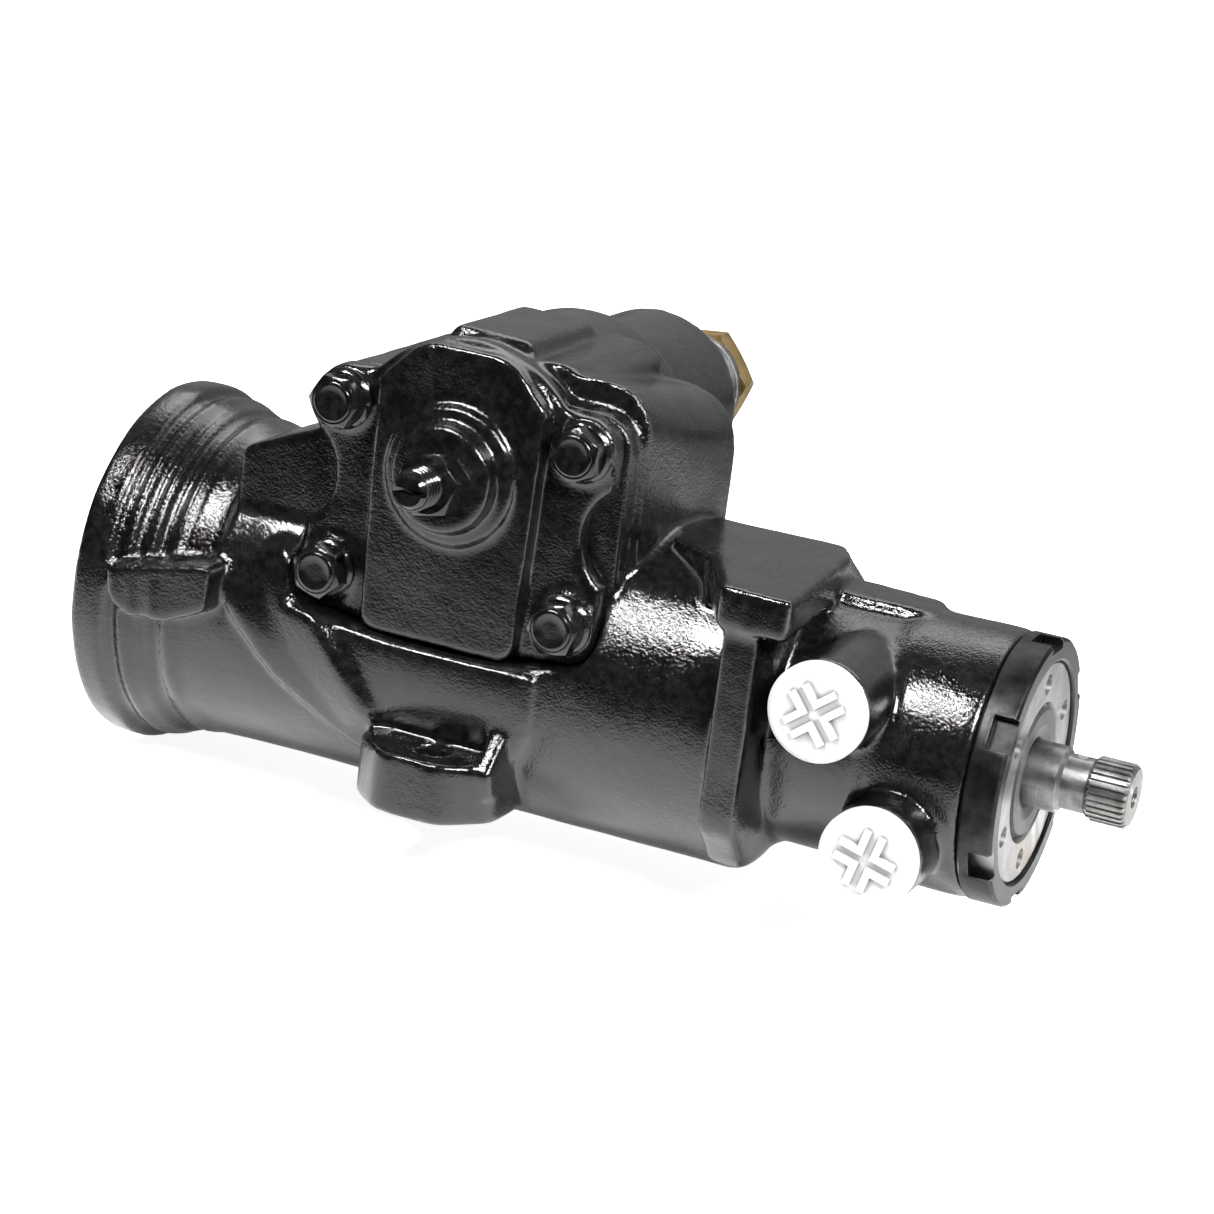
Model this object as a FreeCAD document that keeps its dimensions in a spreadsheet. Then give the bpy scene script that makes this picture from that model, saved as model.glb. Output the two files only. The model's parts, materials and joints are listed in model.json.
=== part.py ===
import FreeCAD, Part
import math
import os
import re
from collections import namedtuple

import Sketcher
from FreeCAD import Placement, Rotation, Vector

# Recirculating-ball power steering gear.
# +X runs along the worm from the end plug to the input stub, +Y along the sector shaft from the
# side cover to the pitman end, +Z up. The origin is the centre of the input stub's end face, on the
# worm axis. Stations along X in the sheet are counted from the sector shaft, and new_body and
# feature_from move each piece by -stub_tip.

DIMENSIONS = {
    # clearances
    "running_gap": 0.05,
    "snug_gap": 0.02,
    # housing, along the worm axis
    "left_face": -118.4,
    "right_face": 161.0,
    "end_ring_radius": 57.0,
    "second_ring_radius": 54.8,
    "barrel_radius": 49.0,
    "bore_radius": 34.6,
    "bore_left": -103.0,
    "bore_right": 71.0,
    "end_plug_radius": 41.0,
    "web_right": 78.0,
    "web_bore_radius": 14.5,
    "valve_case_radius": 39.7,
    "valve_case_left": 91.0,
    "valve_bore_radius": 28.0,
    "thread_bore_left": 149.5,
    "plug_thread_radius": 33.0,
    # gear train
    "sector_height": 60.4,
    "gear_module": 5.5,
    "full_gear_teeth": 12.0,
    "pressure_angle": 25.0,
    "tooth_backlash": 0.16,
    "sector_half_width": 19.5,
    "worm_lead": 13.0,
    "ball_radius": 3.57,
    "ball_circle_radius": 13.0,
    "worm_radius": 12.2,
    "nut_bore_radius": 13.8,
    "circuit_start": -6.5,
    "circuit_turns": 3.0,
    "circuit_middle": 13.0,
    "circuit_end": 32.5,
    "guide_flat": -21.9,
    "guide_line": -27.8,
    "guide_radius": 4.6,
    "clamp_screw_offset": 12.0,
    "clamp_foot": 17.0,
    # sector shaft
    "shaft_radius": 15.875,
    "chamber_radius": 39.8,
    "chamber_front": -21.0,
    "chamber_back": 21.5,
    "rear_boss_radius": 29.7,
    "rear_face": 98.0,
    "pitman_end": 148.0,
    "pitman_thread_radius": 11.1,
    "pitman_nut_width": 33.3,
    # side cover
    "cover_seat": -38.0,
    "cover_face": -44.0,
    "cover_opening_radius": 34.0,
    "cover_opening_height": 50.0,
    "cover_dome_radius": 39.0,
    "cover_bolt_half_span": 38.3,
    "cover_bolt_top": 74.9,
    "cover_bolt_bottom": 23.6,
    "cover_bolt_radius": 4.7,
    "bolt_head_width": 14.3,
    "hub_face": -58.0,
    # valve and input stub
    "worm_flange_left": 83.0,
    "valve_body_left": 88.0,
    "valve_body_right": 142.0,
    "spool_bore_radius": 18.0,
    "stub_radius": 9.525,
    "stub_tip": 200.1,
    "bar_radius": 3.0,
    "bar_end_radius": 4.5,
    # adjuster
    "plug_left": 149.5,
    "plug_right": 170.3,
    "locknut_right": 171.3,
    # ports
    "pressure_port_along": 121.1,
    "pressure_port_height": 19.8,
    "return_port_along": 141.8,
    "return_port_height": -17.7,
    "port_face": -53.0,
    "port_thread_radius": 9.0,
    "port_boss_radius": 14.6,
    "port_cap_radius": 14.35,
    # mounting lug
    "lug_along": 6.2,
    "lug_across": -54.0,
    "lug_top": -20.0,
    "lug_bottom": -38.8,
    "mount_thread_radius": 5.0,
    "rear_pad_face": 52.0,
    "rear_pad_height": -26.0,
    # check valve behind the pressure port
    "spring_seat": -22.45,
    # needle rollers
    "sector_needle_radius": 1.2,
    "sector_needle_circle": 17.095,
    "stub_needle_radius": 1.0,
    "stub_needle_circle": 10.545,
    # retained seal seats
    "sector_seal_radius": 22.0,
    "sector_bearing_radius": 19.05,
    "stub_bearing_radius": 12.75,
    "stub_seal_radius": 15.6,
    # adjusting screw and its jam nut
    "screw_radius": 5.5,
    "jam_nut_width": 17.46,
}

# centres of the two ports and of the two rear mounting pads
PORTS = [("pressure_port_along", "pressure_port_height"), ("return_port_along", "return_port_height")]
REAR_PADS = ("-72", "76")
# sector shaft bore: start, end and radius of each step
SECTOR_BORE = [("chamber_back", "32", "19"), ("32", "78", "sector_bearing_radius"),
               ("78", "rear_face", "sector_seal_radius")]
SECTOR_NEEDLE_COUNT = 40
STUB_NEEDLE_COUNT = 32
THRUST_ROLLER_COUNT = 24
THRUST_ROLLER_RADIUS = 1.48
# degrees either way that the worm's slot lets the stub twist, with a little to spare
TWIST_STOP = 7.5
# grooves of the valve body: middle, half width, depth
RING_DEPTH = "2.2"
ANNULUS_DEPTH = "2.6"
RING_MIDDLES = ("98", "112.5", "130")
RING_HALF_WIDTH = 1.4
ANNULI = (("105.2", "3.2"), ("pressure_port_along", "3.4"))
# corner turns: a shape made along +Z laid along +X or +Y
ALONG_X = Rotation(Vector(0, 1, 0), 90)
ALONG_Y = Rotation(Vector(1, 0, 0), -90)

DOC = FreeCAD.newDocument("power_steering_gear")
SHEET = DOC.addObject("Spreadsheet::Sheet", "dims")
for row, (alias, value) in enumerate(DIMENSIONS.items(), start=1):
    SHEET.set(f"A{row}", alias)
    SHEET.set(f"B{row}", str(value))
    SHEET.setAlias(f"B{row}", alias)
DOC.recompute()

NODES = []
Disc = namedtuple("Disc", "u v radius")
# sketch planes: role of the body's origin plane and the side its normal points to
PLANES = {"XY": ("XY_Plane", 1), "XZ": ("XZ_Plane", -1), "YZ": ("YZ_Plane", 1)}


# ---------------------------------------------------------------- sheet and sketch helpers

def bound(text):
    """Expression for setExpression: each sheet name becomes dims.NAME."""
    return re.sub(r"[a-z_]+", lambda m: "dims." * (m.group() in DIMENSIONS) + m.group(), str(text))


def number(text):
    """Present value of an expression in the sheet's names."""
    return float(SHEET.evalExpression(str(text)))


def is_plain(text):
    return re.search("[a-z]", str(text)) is None


def set_bound(item, target, text):
    if is_plain(text):
        text = f"{number(text)} + 0"
    item.setExpression(target, bound(text))


def constrain(sketch, text, *arguments):
    index = sketch.addConstraint(Sketcher.Constraint(*arguments, number(text)))
    if not is_plain(text):
        sketch.setExpression(f"Constraints[{index}]", bound(text))


def pin(sketch, geometry, point, u, v):
    """Hold a sketch point at (u, v) from the sketch origin."""
    constrain(sketch, u, "DistanceX", -1, 1, geometry, point)
    constrain(sketch, v, "DistanceY", -1, 1, geometry, point)


def draw_disc(sketch, disc):
    centre = Vector(number(disc.u), number(disc.v), 0)
    circle = sketch.addGeometry(Part.Circle(centre, Vector(0, 0, 1), number(disc.radius)))
    pin(sketch, circle, 3, disc.u, disc.v)
    constrain(sketch, disc.radius, "Radius", circle)


def draw_outline(sketch, corners):
    """Closed outline. A corner is (u, v) or (u, v, fillet radius)."""
    spots = [Vector(number(c[0]), number(c[1]), 0) for c in corners]
    entries, exits, arcs = [], [], []
    for k, corner in enumerate(corners):
        spot, before, after = spots[k], spots[k - 1], spots[(k + 1) % len(spots)]
        back = (before - spot).normalize()
        ahead = (after - spot).normalize()
        radius = number(corner[2]) if len(corner) > 2 else 0.0
        half = back.getAngle(ahead) / 2
        reach = radius / math.tan(half) if radius else 0.0
        entries.append(spot + back * reach)
        exits.append(spot + ahead * reach)
        left_turn = back.cross(ahead).z < 0
        centre = spot + (back + ahead).normalize() * (radius / math.sin(half)) if radius else None
        arcs.append((centre, radius, left_turn))
    lines = [sketch.addGeometry(Part.LineSegment(exits[k], entries[(k + 1) % len(spots)]))
             for k in range(len(spots))]
    for k, corner in enumerate(corners):
        came, goes = lines[k - 1], lines[k]
        centre, radius, left_turn = arcs[k]
        if not radius:
            sketch.addConstraint(Sketcher.Constraint("Coincident", came, 2, goes, 1))
            pin(sketch, goes, 1, corner[0], corner[1])
            continue
        first, last = (entries[k], exits[k]) if left_turn else (exits[k], entries[k])
        start, end = [math.atan2(p.y - centre.y, p.x - centre.x) for p in (first, last)]
        circle = Part.Circle(centre, Vector(0, 0, 1), radius)
        arc = sketch.addGeometry(Part.ArcOfCircle(circle, start, end))
        near, far = (1, 2) if left_turn else (2, 1)
        sketch.addConstraint(Sketcher.Constraint("Tangent", came, 2, arc, near))
        sketch.addConstraint(Sketcher.Constraint("Tangent", goes, 1, arc, far))
        constrain(sketch, corner[2], "Radius", arc)
        spot = sketch.addGeometry(Part.Point(spots[k]), True)
        pin(sketch, spot, 1, corner[0], corner[1])
        sketch.addConstraint(Sketcher.Constraint("PointOnObject", spot, 1, came))
        sketch.addConstraint(Sketcher.Constraint("PointOnObject", spot, 1, goes))


def sketch_in(body, plane, level, shapes):
    """Sketch parallel to an origin plane of the body, at a signed distance along its axis."""
    role, side = PLANES[plane]
    sketch = body.newObject("Sketcher::SketchObject", body.Name + "_sketch")
    origin_plane = next(f for f in body.Origin.OriginFeatures if f.Role == role)
    sketch.AttachmentSupport = (origin_plane, [""])
    sketch.MapMode = "FlatFace"
    set_bound(sketch, "AttachmentOffset.Base.z", f"{side} * ({level})")
    for shape in shapes:
        if isinstance(shape, Disc):
            draw_disc(sketch, shape)
        else:
            draw_outline(sketch, shape)
    return sketch


# ---------------------------------------------------------------- feature helpers

def new_body(name, along="0", across="0", height="0"):
    body = DOC.addObject("PartDesign::Body", name)
    body.Label = name
    for letter, text in zip("xyz", (f"{along} - stub_tip", across, height)):
        set_bound(body, f"Placement.Base.{letter}", text)
    return body


def extrude(body, kind, plane, start, end, shapes):
    sketch = sketch_in(body, plane, start, shapes)
    feature = body.newObject("PartDesign::" + kind, f"{body.Name}_{kind.lower()}")
    feature.Profile = sketch
    set_bound(feature, "Length", f"({end}) - ({start})")
    grows_with_normal = PLANES[plane][1] > 0
    feature.Reversed = grows_with_normal if kind == "Pocket" else not grows_with_normal
    return feature


def pad(body, plane, start, end, *shapes):
    return extrude(body, "Pad", plane, start, end, shapes)


def pocket(body, plane, start, end, *shapes):
    return extrude(body, "Pocket", plane, start, end, shapes)


def loft(body, plane, *stations):
    """Solid through outlines at several levels; each station is (level, outline)."""
    sketches = [sketch_in(body, plane, level, [outline]) for level, outline in stations]
    feature = body.newObject("PartDesign::AdditiveLoft", body.Name + "_loft")
    feature.Profile = sketches[0]
    feature.Sections = sketches[1:]
    feature.Ruled = True
    return feature


def revolve(body, kind, axis, profile):
    """Revolution or Groove about the body's own X or Y axis; profile points are (along, radius)."""
    plane = {"X": "XY", "Y": "YZ"}[axis]
    sketch = sketch_in(body, plane, "0", [profile])
    feature = body.newObject("PartDesign::" + kind, f"{body.Name}_{kind.lower()}")
    feature.Profile = sketch
    feature.ReferenceAxis = (sketch, ["H_Axis"])
    feature.Angle = 360
    return feature


def around(body, feature, axis, count):
    pattern = body.newObject("PartDesign::PolarPattern", body.Name + "_pattern")
    pattern.Originals = [feature]
    pattern.Axis = (next(f for f in body.Origin.OriginFeatures if f.Role == axis + "_Axis"), [""])
    pattern.Angle = 360
    pattern.Occurrences = count
    body.Tip = pattern
    return pattern


def node(item, label):
    item.Label = label
    NODES.append(item)
    return item


def turned(label, axis, profile, **place):
    """A lathe-turned piece: one closed profile revolved about its axis."""
    body = new_body(label, **place)
    revolve(body, "Revolution", axis, profile)
    return node(body, label)


def ring_profile(left, right, inner, outer, edge="0"):
    """Rectangular ring section with its two outer edges broken by edge."""
    if number(edge) == 0:
        return [(left, inner), (right, inner), (right, outer), (left, outer)]
    return [(left, inner), (right, inner), (right, f"{outer} - {edge}"),
            (f"{right} - {edge}", outer), (f"{left} + {edge}", outer), (left, f"{outer} - {edge}")]


def hexagon(across_flats, turn=0.0, u="0", v="0"):
    """Corners of a hexagon centred on (u, v), as expressions."""
    corners = []
    for k in range(6):
        angle = math.radians(60 * k + turn)
        reach = 0.5 / math.cos(math.radians(30))
        corners.append((f"{u} + {reach * math.cos(angle):.6f} * {across_flats}",
                        f"{v} + {reach * math.sin(angle):.6f} * {across_flats}"))
    return corners


def feature_from(label, shape, placement=None):
    item = DOC.addObject("Part::Feature", label)
    item.Shape = shape
    shift = Placement(Vector(-number("stub_tip"), 0, 0), Rotation())
    item.Placement = shift * (placement or Placement())
    return item


def copies(label, one, spots):
    """One node holding the same solid at several places."""
    solids = []
    for spot in spots:
        solid = one.copy()
        solid.Placement = spot
        solids.append(solid)
    return node(feature_from(label, Part.makeCompound(solids)), label)


def cut_of(label, base, tool):
    cut = DOC.addObject("Part::Cut", label)
    cut.Base = base
    cut.Tool = tool
    return cut


# ---------------------------------------------------------------- housing

# centres of the four cover bolts in the plane of the cover
COVER_BOLTS = [(f"{sign} * cover_bolt_half_span", height)
               for sign in (-1, 1) for height in ("cover_bolt_top", "cover_bolt_bottom")]


def saddle():
    """Thick patch on the barrel that carries the cover flange down to the lug, with a slanted edge."""
    outer = number("barrel_radius") + 2.6
    corners = [(-74, 40), (-75.5, 16), (-66, 3), (-50, -13), (-24, -31), (-10, -40), (20, -40), (34, -10),
               (34, 7.4), (-13, 7.4), (-48.8, 11), (-48.8, 40)]
    wire = Part.makePolygon([Vector(x, 0, z) for x, z in corners + corners[:1]])
    prism = Part.Face(wire).extrude(Vector(0, -2 * outer, 0))
    ring = Part.makeCylinder(outer, 120).cut(Part.makeCylinder(outer - 5, 120))
    ring.Placement = Placement(Vector(-78, 0, 0), ALONG_X)
    return feature_from("saddle", prism.common(ring))


def build_housing():
    body = new_body("housing_casting")
    revolve(body, "Revolution", "X", [
        ("left_face", "0"),
        ("left_face", "end_ring_radius - 0.8"),
        ("left_face + 0.8", "end_ring_radius"),
        ("left_face + 9.5", "end_ring_radius"),
        ("left_face + 12.5", "end_ring_radius - 2.8"),
        ("left_face + 16.6", "second_ring_radius"),
        ("left_face + 20", "second_ring_radius - 2.4"),
        ("left_face + 23", "second_ring_radius - 2.2"),
        ("left_face + 26", "barrel_radius + 1.2"),
        ("left_face + 30", "barrel_radius + 1.6"),
        ("left_face + 34", "barrel_radius + 0.4"),
        ("left_face + 60", "barrel_radius"),
        ("valve_case_left", "barrel_radius"),
        ("valve_case_left + 6", "valve_case_radius - 2.5"),
        ("127", "valve_case_radius - 2.5"),
        ("134", "valve_case_radius"),
        ("right_face - 1.5", "valve_case_radius"),
        ("right_face", "valve_case_radius - 1.5"),
        ("right_face", "0")])
    # flat plate on top of the valve case
    pad(body, "XY", "20", "40.4", [("97", "-4"), ("134", "-4"), ("134", "13", "3"), ("97", "17")])
    # sector case: flange block, upper round tower, right shoulder and rear boss
    pad(body, "XZ", "cover_seat", "chamber_back + 6",
        [("-50", "10", "8"), ("-12", "1", "14"), ("12", "1", "14"), ("50", "12", "8"),
         ("50", "85", "11"), ("-48", "85", "12")])
    pad(body, "XZ", "cover_seat", "chamber_back + 18",
        Disc("0", "sector_height", "cover_dome_radius - 1.5"))
    front = [("20", "10", "4"), ("52", "10", "4"), ("52", "93", "14"), ("20", "93", "4")]
    back = [("20", "10", "4"), ("58", "10", "4"), ("57", "84", "17"), ("20", "84", "4")]
    loft(body, "XZ", ("cover_seat + 7", front), ("chamber_back + 6", back))
    pad(body, "XZ", "cover_seat + 6", "chamber_back - 8",
        [("-14", "80", "1"), ("13", "80", "1"), ("13", "99.4", "3"), ("-14", "100.4", "4")])
    pad(body, "XZ", "cover_seat + 6", "chamber_back + 2",
        [("15", "70", "1"), ("32", "70", "1"), ("32", "91", "3"), ("24", "95", "3"), ("15", "95", "2")])
    pad(body, "XZ", "chamber_back + 2", "rear_face", Disc("0", "sector_height", "rear_boss_radius"))
    pad(body, "XZ", "0", "rear_face - 30",
        [("-24", "20", "4"), ("24", "20", "4"), ("24", "60", "4"), ("-24", "60", "4")])
    # flat web left of the cover, running down to the lug
    pad(body, "XZ", "cover_seat - 1", "0",
        [("-74", "52", "4"), ("-75", "16", "10"), ("-62", "-2", "6"), ("-38", "-18", "4"),
         ("-10", "-36", "2"), ("10", "-20", "2"), ("-20", "30", "2"), ("-46", "64", "2")])
    # front mounting lug with its side rib
    pad(body, "XY", "lug_bottom", "lug_top",
        [("-17", "-20"), ("-17", "-56", "9"), ("-5", "-67", "10"), ("15", "-67", "13"),
         ("28", "-54", "10"), ("28", "-20")])
    pad(body, "YZ", "22", "28",
        [("-30", "-4"), ("-46", "-6", "2"), ("-61", "lug_top - 2", "2"), ("-58", "lug_top - 10"),
         ("-30", "lug_top - 10")])
    # middle flange: front web, top deck and rear web
    pad(body, "YZ", "90", "101",
        [("-54", "48", "3"), ("-54", "-22", "10"), ("-40", "-37.5", "10"), ("30", "-38", "12"),
         ("44", "-20", "10"), ("44", "30", "10"), ("16", "48", "6")])
    pad(body, "XY", "37", "49",
        [("88", "-55.5", "2"), ("110", "-57", "3"), ("105", "7", "3"), ("100", "15", "2"), ("58", "15"),
         ("58", "-18"), ("74", "-28", "6")])
    # boss at the lower front of the end ring: flat above, curved below
    pad(body, "XZ", "-59", "-40",
        [("-106", "11.5", "2"), ("-105.5", "3", "3"), ("-98", "-2.6", "6"), ("-84", "-1.2", "6"),
         ("-71", "4.5", "3"), ("-70", "19.5", "2")])
    # port bosses
    for along, height in PORTS:
        pad(body, "XZ", "port_face", "0", Disc(along, height, "port_boss_radius"))
    # lower rear mounting pads
    for along in REAR_PADS:
        pad(body, "XZ", "20", "rear_pad_face", Disc(along, "rear_pad_height", "13"))

    # worm bore, stepped from the end plug to the adjuster plug
    revolve(body, "Groove", "X", [
        ("left_face", "0"),
        ("left_face", "end_plug_radius + 0.8"),
        ("left_face + 1", "end_plug_radius"),
        ("bore_left", "end_plug_radius"),
        ("bore_left", "bore_radius"),
        ("bore_right", "bore_radius"),
        ("bore_right", "web_bore_radius"),
        ("web_right", "web_bore_radius"),
        ("web_right", "valve_bore_radius"),
        ("thread_bore_left", "valve_bore_radius"),
        ("thread_bore_left", "plug_thread_radius"),
        ("right_face", "plug_thread_radius"),
        ("right_face", "0")])
    revolve(body, "Groove", "X", ring_profile("left_face + 3", "left_face + 5.2",
                                              "end_plug_radius - 1", "end_plug_radius + 2"))
    # sector chamber: cover opening, swing space and shaft core
    pocket(body, "XZ", "cover_seat", "chamber_front",
           Disc("0", "cover_opening_height", "cover_opening_radius"))
    pocket(body, "XZ", "chamber_front - 1", "chamber_back",
           Disc("0", "sector_height - 8", "chamber_radius - 8"))
    pocket(body, "XZ", "chamber_front", "chamber_back",
           [("-chamber_radius", "sector_height + 2", "3"), ("-chamber_radius", "sector_height - 16", "20"),
            ("-20", "sector_height - chamber_radius", "14"), ("20", "sector_height - chamber_radius", "14"),
            ("chamber_radius", "sector_height - 16", "20"), ("chamber_radius", "sector_height + 2", "3")])
    for start, end, radius in SECTOR_BORE:
        pocket(body, "XZ", start, end, Disc("0", "sector_height", radius))
    # recess in the barrel for the cover, and tapped holes for its bolts
    pocket(body, "XZ", "-62", "cover_seat",
           [("-48.4", "11.6", "9"), ("-12", "7.6", "14"), ("10", "7.6", "14"), ("48.4", "11.6", "9"),
            ("48.4", "85.4", "10"), ("-48.4", "85.4", "10")])
    holes = [Disc(along, height, "cover_bolt_radius + running_gap") for along, height in COVER_BOLTS]
    pocket(body, "XZ", "cover_seat", "cover_seat + 8.5", *holes)
    # ports: thread, seat pocket and passage into the valve bore
    for along, height in PORTS:
        pocket(body, "XZ", "port_face", "port_face + 15", Disc(along, height, "port_thread_radius"))
        pocket(body, "XZ", "port_face + 15", "port_face + 21", Disc(along, height, "7"))
        pocket(body, "XZ", "port_face + 21", "spring_seat", Disc(along, height, "4.5"))
        pocket(body, "XZ", "spring_seat", "-12", Disc(along, height, "3"))
    # tapped mounting holes
    pocket(body, "XY", "lug_bottom", "lug_top", Disc("lug_along", "lug_across", "mount_thread_radius"))
    pocket(body, "XZ", "rear_pad_face - 18", "rear_pad_face",
           *[Disc(along, "rear_pad_height", "mount_thread_radius") for along in REAR_PADS])
    whole = DOC.addObject("Part::Fuse", "housing")
    whole.Base = body
    whole.Tool = saddle()
    node(whole, "housing")


# ---------------------------------------------------------------- housing closures

def build_end_plug():
    right = "bore_left - 0.1"
    turned("housing_end_plug", "X", [
        ("left_face + 5.3", "0"),
        ("left_face + 5.3", "end_plug_radius - running_gap"),
        ("left_face + 8", "end_plug_radius - running_gap"),
        ("left_face + 8", "end_plug_radius - 2.6"),
        ("left_face + 11.4", "end_plug_radius - 2.6"),
        ("left_face + 11.4", "end_plug_radius - running_gap"),
        (right, "end_plug_radius - running_gap"),
        (right, "end_plug_radius - 8"),
        (f"{right} - 4", "end_plug_radius - 10"),
        (f"{right} - 4", "0")])
    turned("end_plug_oring", "X",
           ring_profile("left_face + 8.2", "left_face + 11.2", "end_plug_radius - 2.5",
                        "end_plug_radius - snug_gap", "0.7"))
    body = new_body("end_plug_retaining_ring")
    revolve(body, "Revolution", "X", ring_profile("left_face + 3.1", "left_face + 5.1",
                                                  "end_plug_radius - 1.6", "end_plug_radius + 1.9"))
    pocket(body, "YZ", "left_face + 2", "left_face + 6",
           [("-4", "-end_plug_radius - 4"), ("4", "-end_plug_radius - 4"), ("4", "-30"), ("-4", "-30")])
    node(body, "end_plug_retaining_ring")


def build_side_cover():
    body = new_body("side_cover")
    pad(body, "XZ", "cover_face", "cover_seat", Disc("0", "sector_height", "cover_dome_radius"))
    pad(body, "XZ", "cover_face", "cover_seat",
        [("-48", "12", "9"), ("-12", "8", "14"), ("10", "8", "14"), ("48", "12", "9"),
         ("48", "85", "10"), ("-48", "85", "10")])
    # raised centre, hub steps and inner bearing boss
    pad(body, "XZ", "cover_face - 5", "cover_face",
        [("-25", "9", "5"), ("25", "9", "5"), ("27", "84", "6"), ("14", "97.4", "14"),
         ("-14", "97.4", "14"), ("-27", "84", "6")])
    pad(body, "XZ", "cover_face - 8", "cover_face", Disc("0", "sector_height", "20.5"))
    pad(body, "XZ", "hub_face", "cover_face", Disc("0", "sector_height", "16"))
    pad(body, "XZ", "cover_seat", "-23", Disc("0", "sector_height", "22"))
    pad(body, "XZ", "cover_face - 1.5", "cover_face",
        *[Disc(along, height, "9.6") for along, height in COVER_BOLTS])
    # scalloped sides, bolt holes, adjuster thread and bearing bore
    for along in ("-57", "57"):
        pocket(body, "XZ", "cover_face - 2", "cover_seat", Disc(along, "cover_opening_height", "17"))
    pocket(body, "XZ", "cover_face - 2", "cover_seat",
           *[Disc(along, height, "cover_bolt_radius + 0.3") for along, height in COVER_BOLTS])
    pocket(body, "XZ", "hub_face", "-50", Disc("0", "sector_height", "screw_radius + running_gap"))
    pocket(body, "XZ", "-50", "-23", Disc("0", "sector_height", "19"))
    pocket(body, "XZ", "cover_seat - 2.4", "cover_seat",
           Disc("0", "cover_opening_height", "38.4"), Disc("0", "cover_opening_height", "36"))
    node(body, "side_cover")
    turned("side_cover_seal", "Y",
           ring_profile("cover_seat - 2.3", "cover_seat", "36.1", "38.3", "0.5"),
           height="cover_opening_height")
    turned("side_cover_bushing", "Y",
           ring_profile("-49.5", "-24", "shaft_radius", "19 - snug_gap", "0.6"), height="sector_height")


def build_cover_bolts():
    bolt = new_body("cover_bolt")
    head = "cover_face - 1.5"
    revolve(bolt, "Revolution", "Y", [
        (f"{head} - 2.2", "0"),
        (f"{head} - 2.2", "8"),
        (f"{head} - 1.2", "9.1"),
        (head, "9.1"),
        (head, "cover_bolt_radius"),
        ("cover_seat + 6.8", "cover_bolt_radius"),
        ("cover_seat + 8", "cover_bolt_radius - 1.2"),
        ("cover_seat + 8", "0")])
    pad(bolt, "XZ", f"{head} - 8", f"{head} - 2", hexagon("bolt_head_width"))
    revolve(bolt, "Groove", "Y", [(f"{head} - 8.1", "6.4"), (f"{head} - 8.1", "9"), (f"{head} - 6.6", "9")])
    DOC.recompute()
    spots = []
    for k, (along, height) in enumerate(COVER_BOLTS):
        spots.append(Placement(Vector(number(along), 0, number(height)), Rotation(Vector(0, 1, 0), 17 * k)))
    copies("side_cover_bolts", bolt.Shape, spots)


def build_lash_adjuster():
    screw = new_body("lash_adjuster_screw", height="sector_height")
    revolve(screw, "Revolution", "Y", [
        ("-76.5", "0"), ("-76.5", "screw_radius - 1.3"), ("-75.2", "screw_radius"),
        ("-48.2", "screw_radius"), ("-48.2", "7.9"), ("-44.2", "7.9"), ("-44.2", "0")])
    pocket(screw, "XZ", "-77", "-73.6", [("-7", "-0.9"), ("7", "-0.9"), ("7", "0.9"), ("-7", "0.9")])
    node(screw, "lash_adjuster_screw")
    nut = new_body("lash_adjuster_jam_nut", height="sector_height")
    pad(nut, "XZ", "hub_face - 8", "hub_face", hexagon("jam_nut_width", 12.0))
    revolve(nut, "Groove", "Y",
            [("hub_face - 8.1", "8"), ("hub_face - 8.1", "11"), ("hub_face - 6.6", "11")])
    pocket(nut, "XZ", "hub_face - 9", "hub_face + 1", Disc("0", "0", "screw_radius + snug_gap"))
    node(nut, "lash_adjuster_jam_nut")


# ---------------------------------------------------------------- sector shaft

def involute_flank(base, start, end, steps=8):
    """Points of an involute of the base circle from radius start to radius end, as (radius, angle)."""
    for k in range(steps + 1):
        radius = start + (end - start) * k / steps
        roll = math.sqrt(max(radius ** 2 - base ** 2, 0.0)) / base
        yield radius, roll - math.atan(roll)


def sector_tooth_profile():
    """Three teeth pointing down, with the segment that joins them, as one face in the XZ plane."""
    module = number("gear_module")
    teeth = number("full_gear_teeth")
    pitch = module * teeth / 2
    slope = math.radians(number("pressure_angle"))
    base = pitch * math.cos(slope)
    tip, root = pitch + module, pitch - 1.25 * module
    half_pitch_angle = (math.pi * module - number("tooth_backlash")) / (4 * pitch)
    at_pitch = math.tan(slope) - slope
    flank = [(r, half_pitch_angle + at_pitch - turn)
             for r, turn in involute_flank(base, max(base, root + 0.2), tip)]

    def spot(radius, angle):
        return Vector(radius * math.sin(angle), 0, -radius * math.cos(angle))

    step = 2 * math.pi / teeth
    edges = []
    last = None
    for centre in (-step, 0.0, step):
        rising = [spot(r, centre - a) for r, a in flank]
        falling = [spot(r, centre + a) for r, a in reversed(flank)]
        foot = spot(root, centre - flank[0][1])
        heel = spot(root, centre + flank[0][1])
        if last is not None:
            edges.append(Part.Arc(last, spot(root, centre - step / 2), foot).toShape())
        edges.append(Part.LineSegment(foot, rising[0]).toShape())
        for side in (rising, falling):
            curve = Part.BSplineCurve()
            curve.interpolate(side)
            edges.append(curve.toShape())
            if side is rising:
                edges.append(Part.Arc(rising[-1], spot(tip, centre), falling[0]).toShape())
        edges.append(Part.LineSegment(falling[-1], heel).toShape())
        last = heel
    hub = number("shaft_radius")
    edge_angle = step + flank[0][1]
    edges.append(Part.LineSegment(last, spot(hub, edge_angle)).toShape())
    edges.append(Part.LineSegment(spot(hub, edge_angle), spot(0.2 * hub, 0)).toShape())
    edges.append(Part.LineSegment(spot(0.2 * hub, 0), spot(hub, -edge_angle)).toShape())
    edges.append(Part.LineSegment(spot(hub, -edge_angle), edges[0].Vertexes[0].Point).toShape())
    return Part.Face(Part.Wire(Part.__sortEdges__(edges)))


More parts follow.
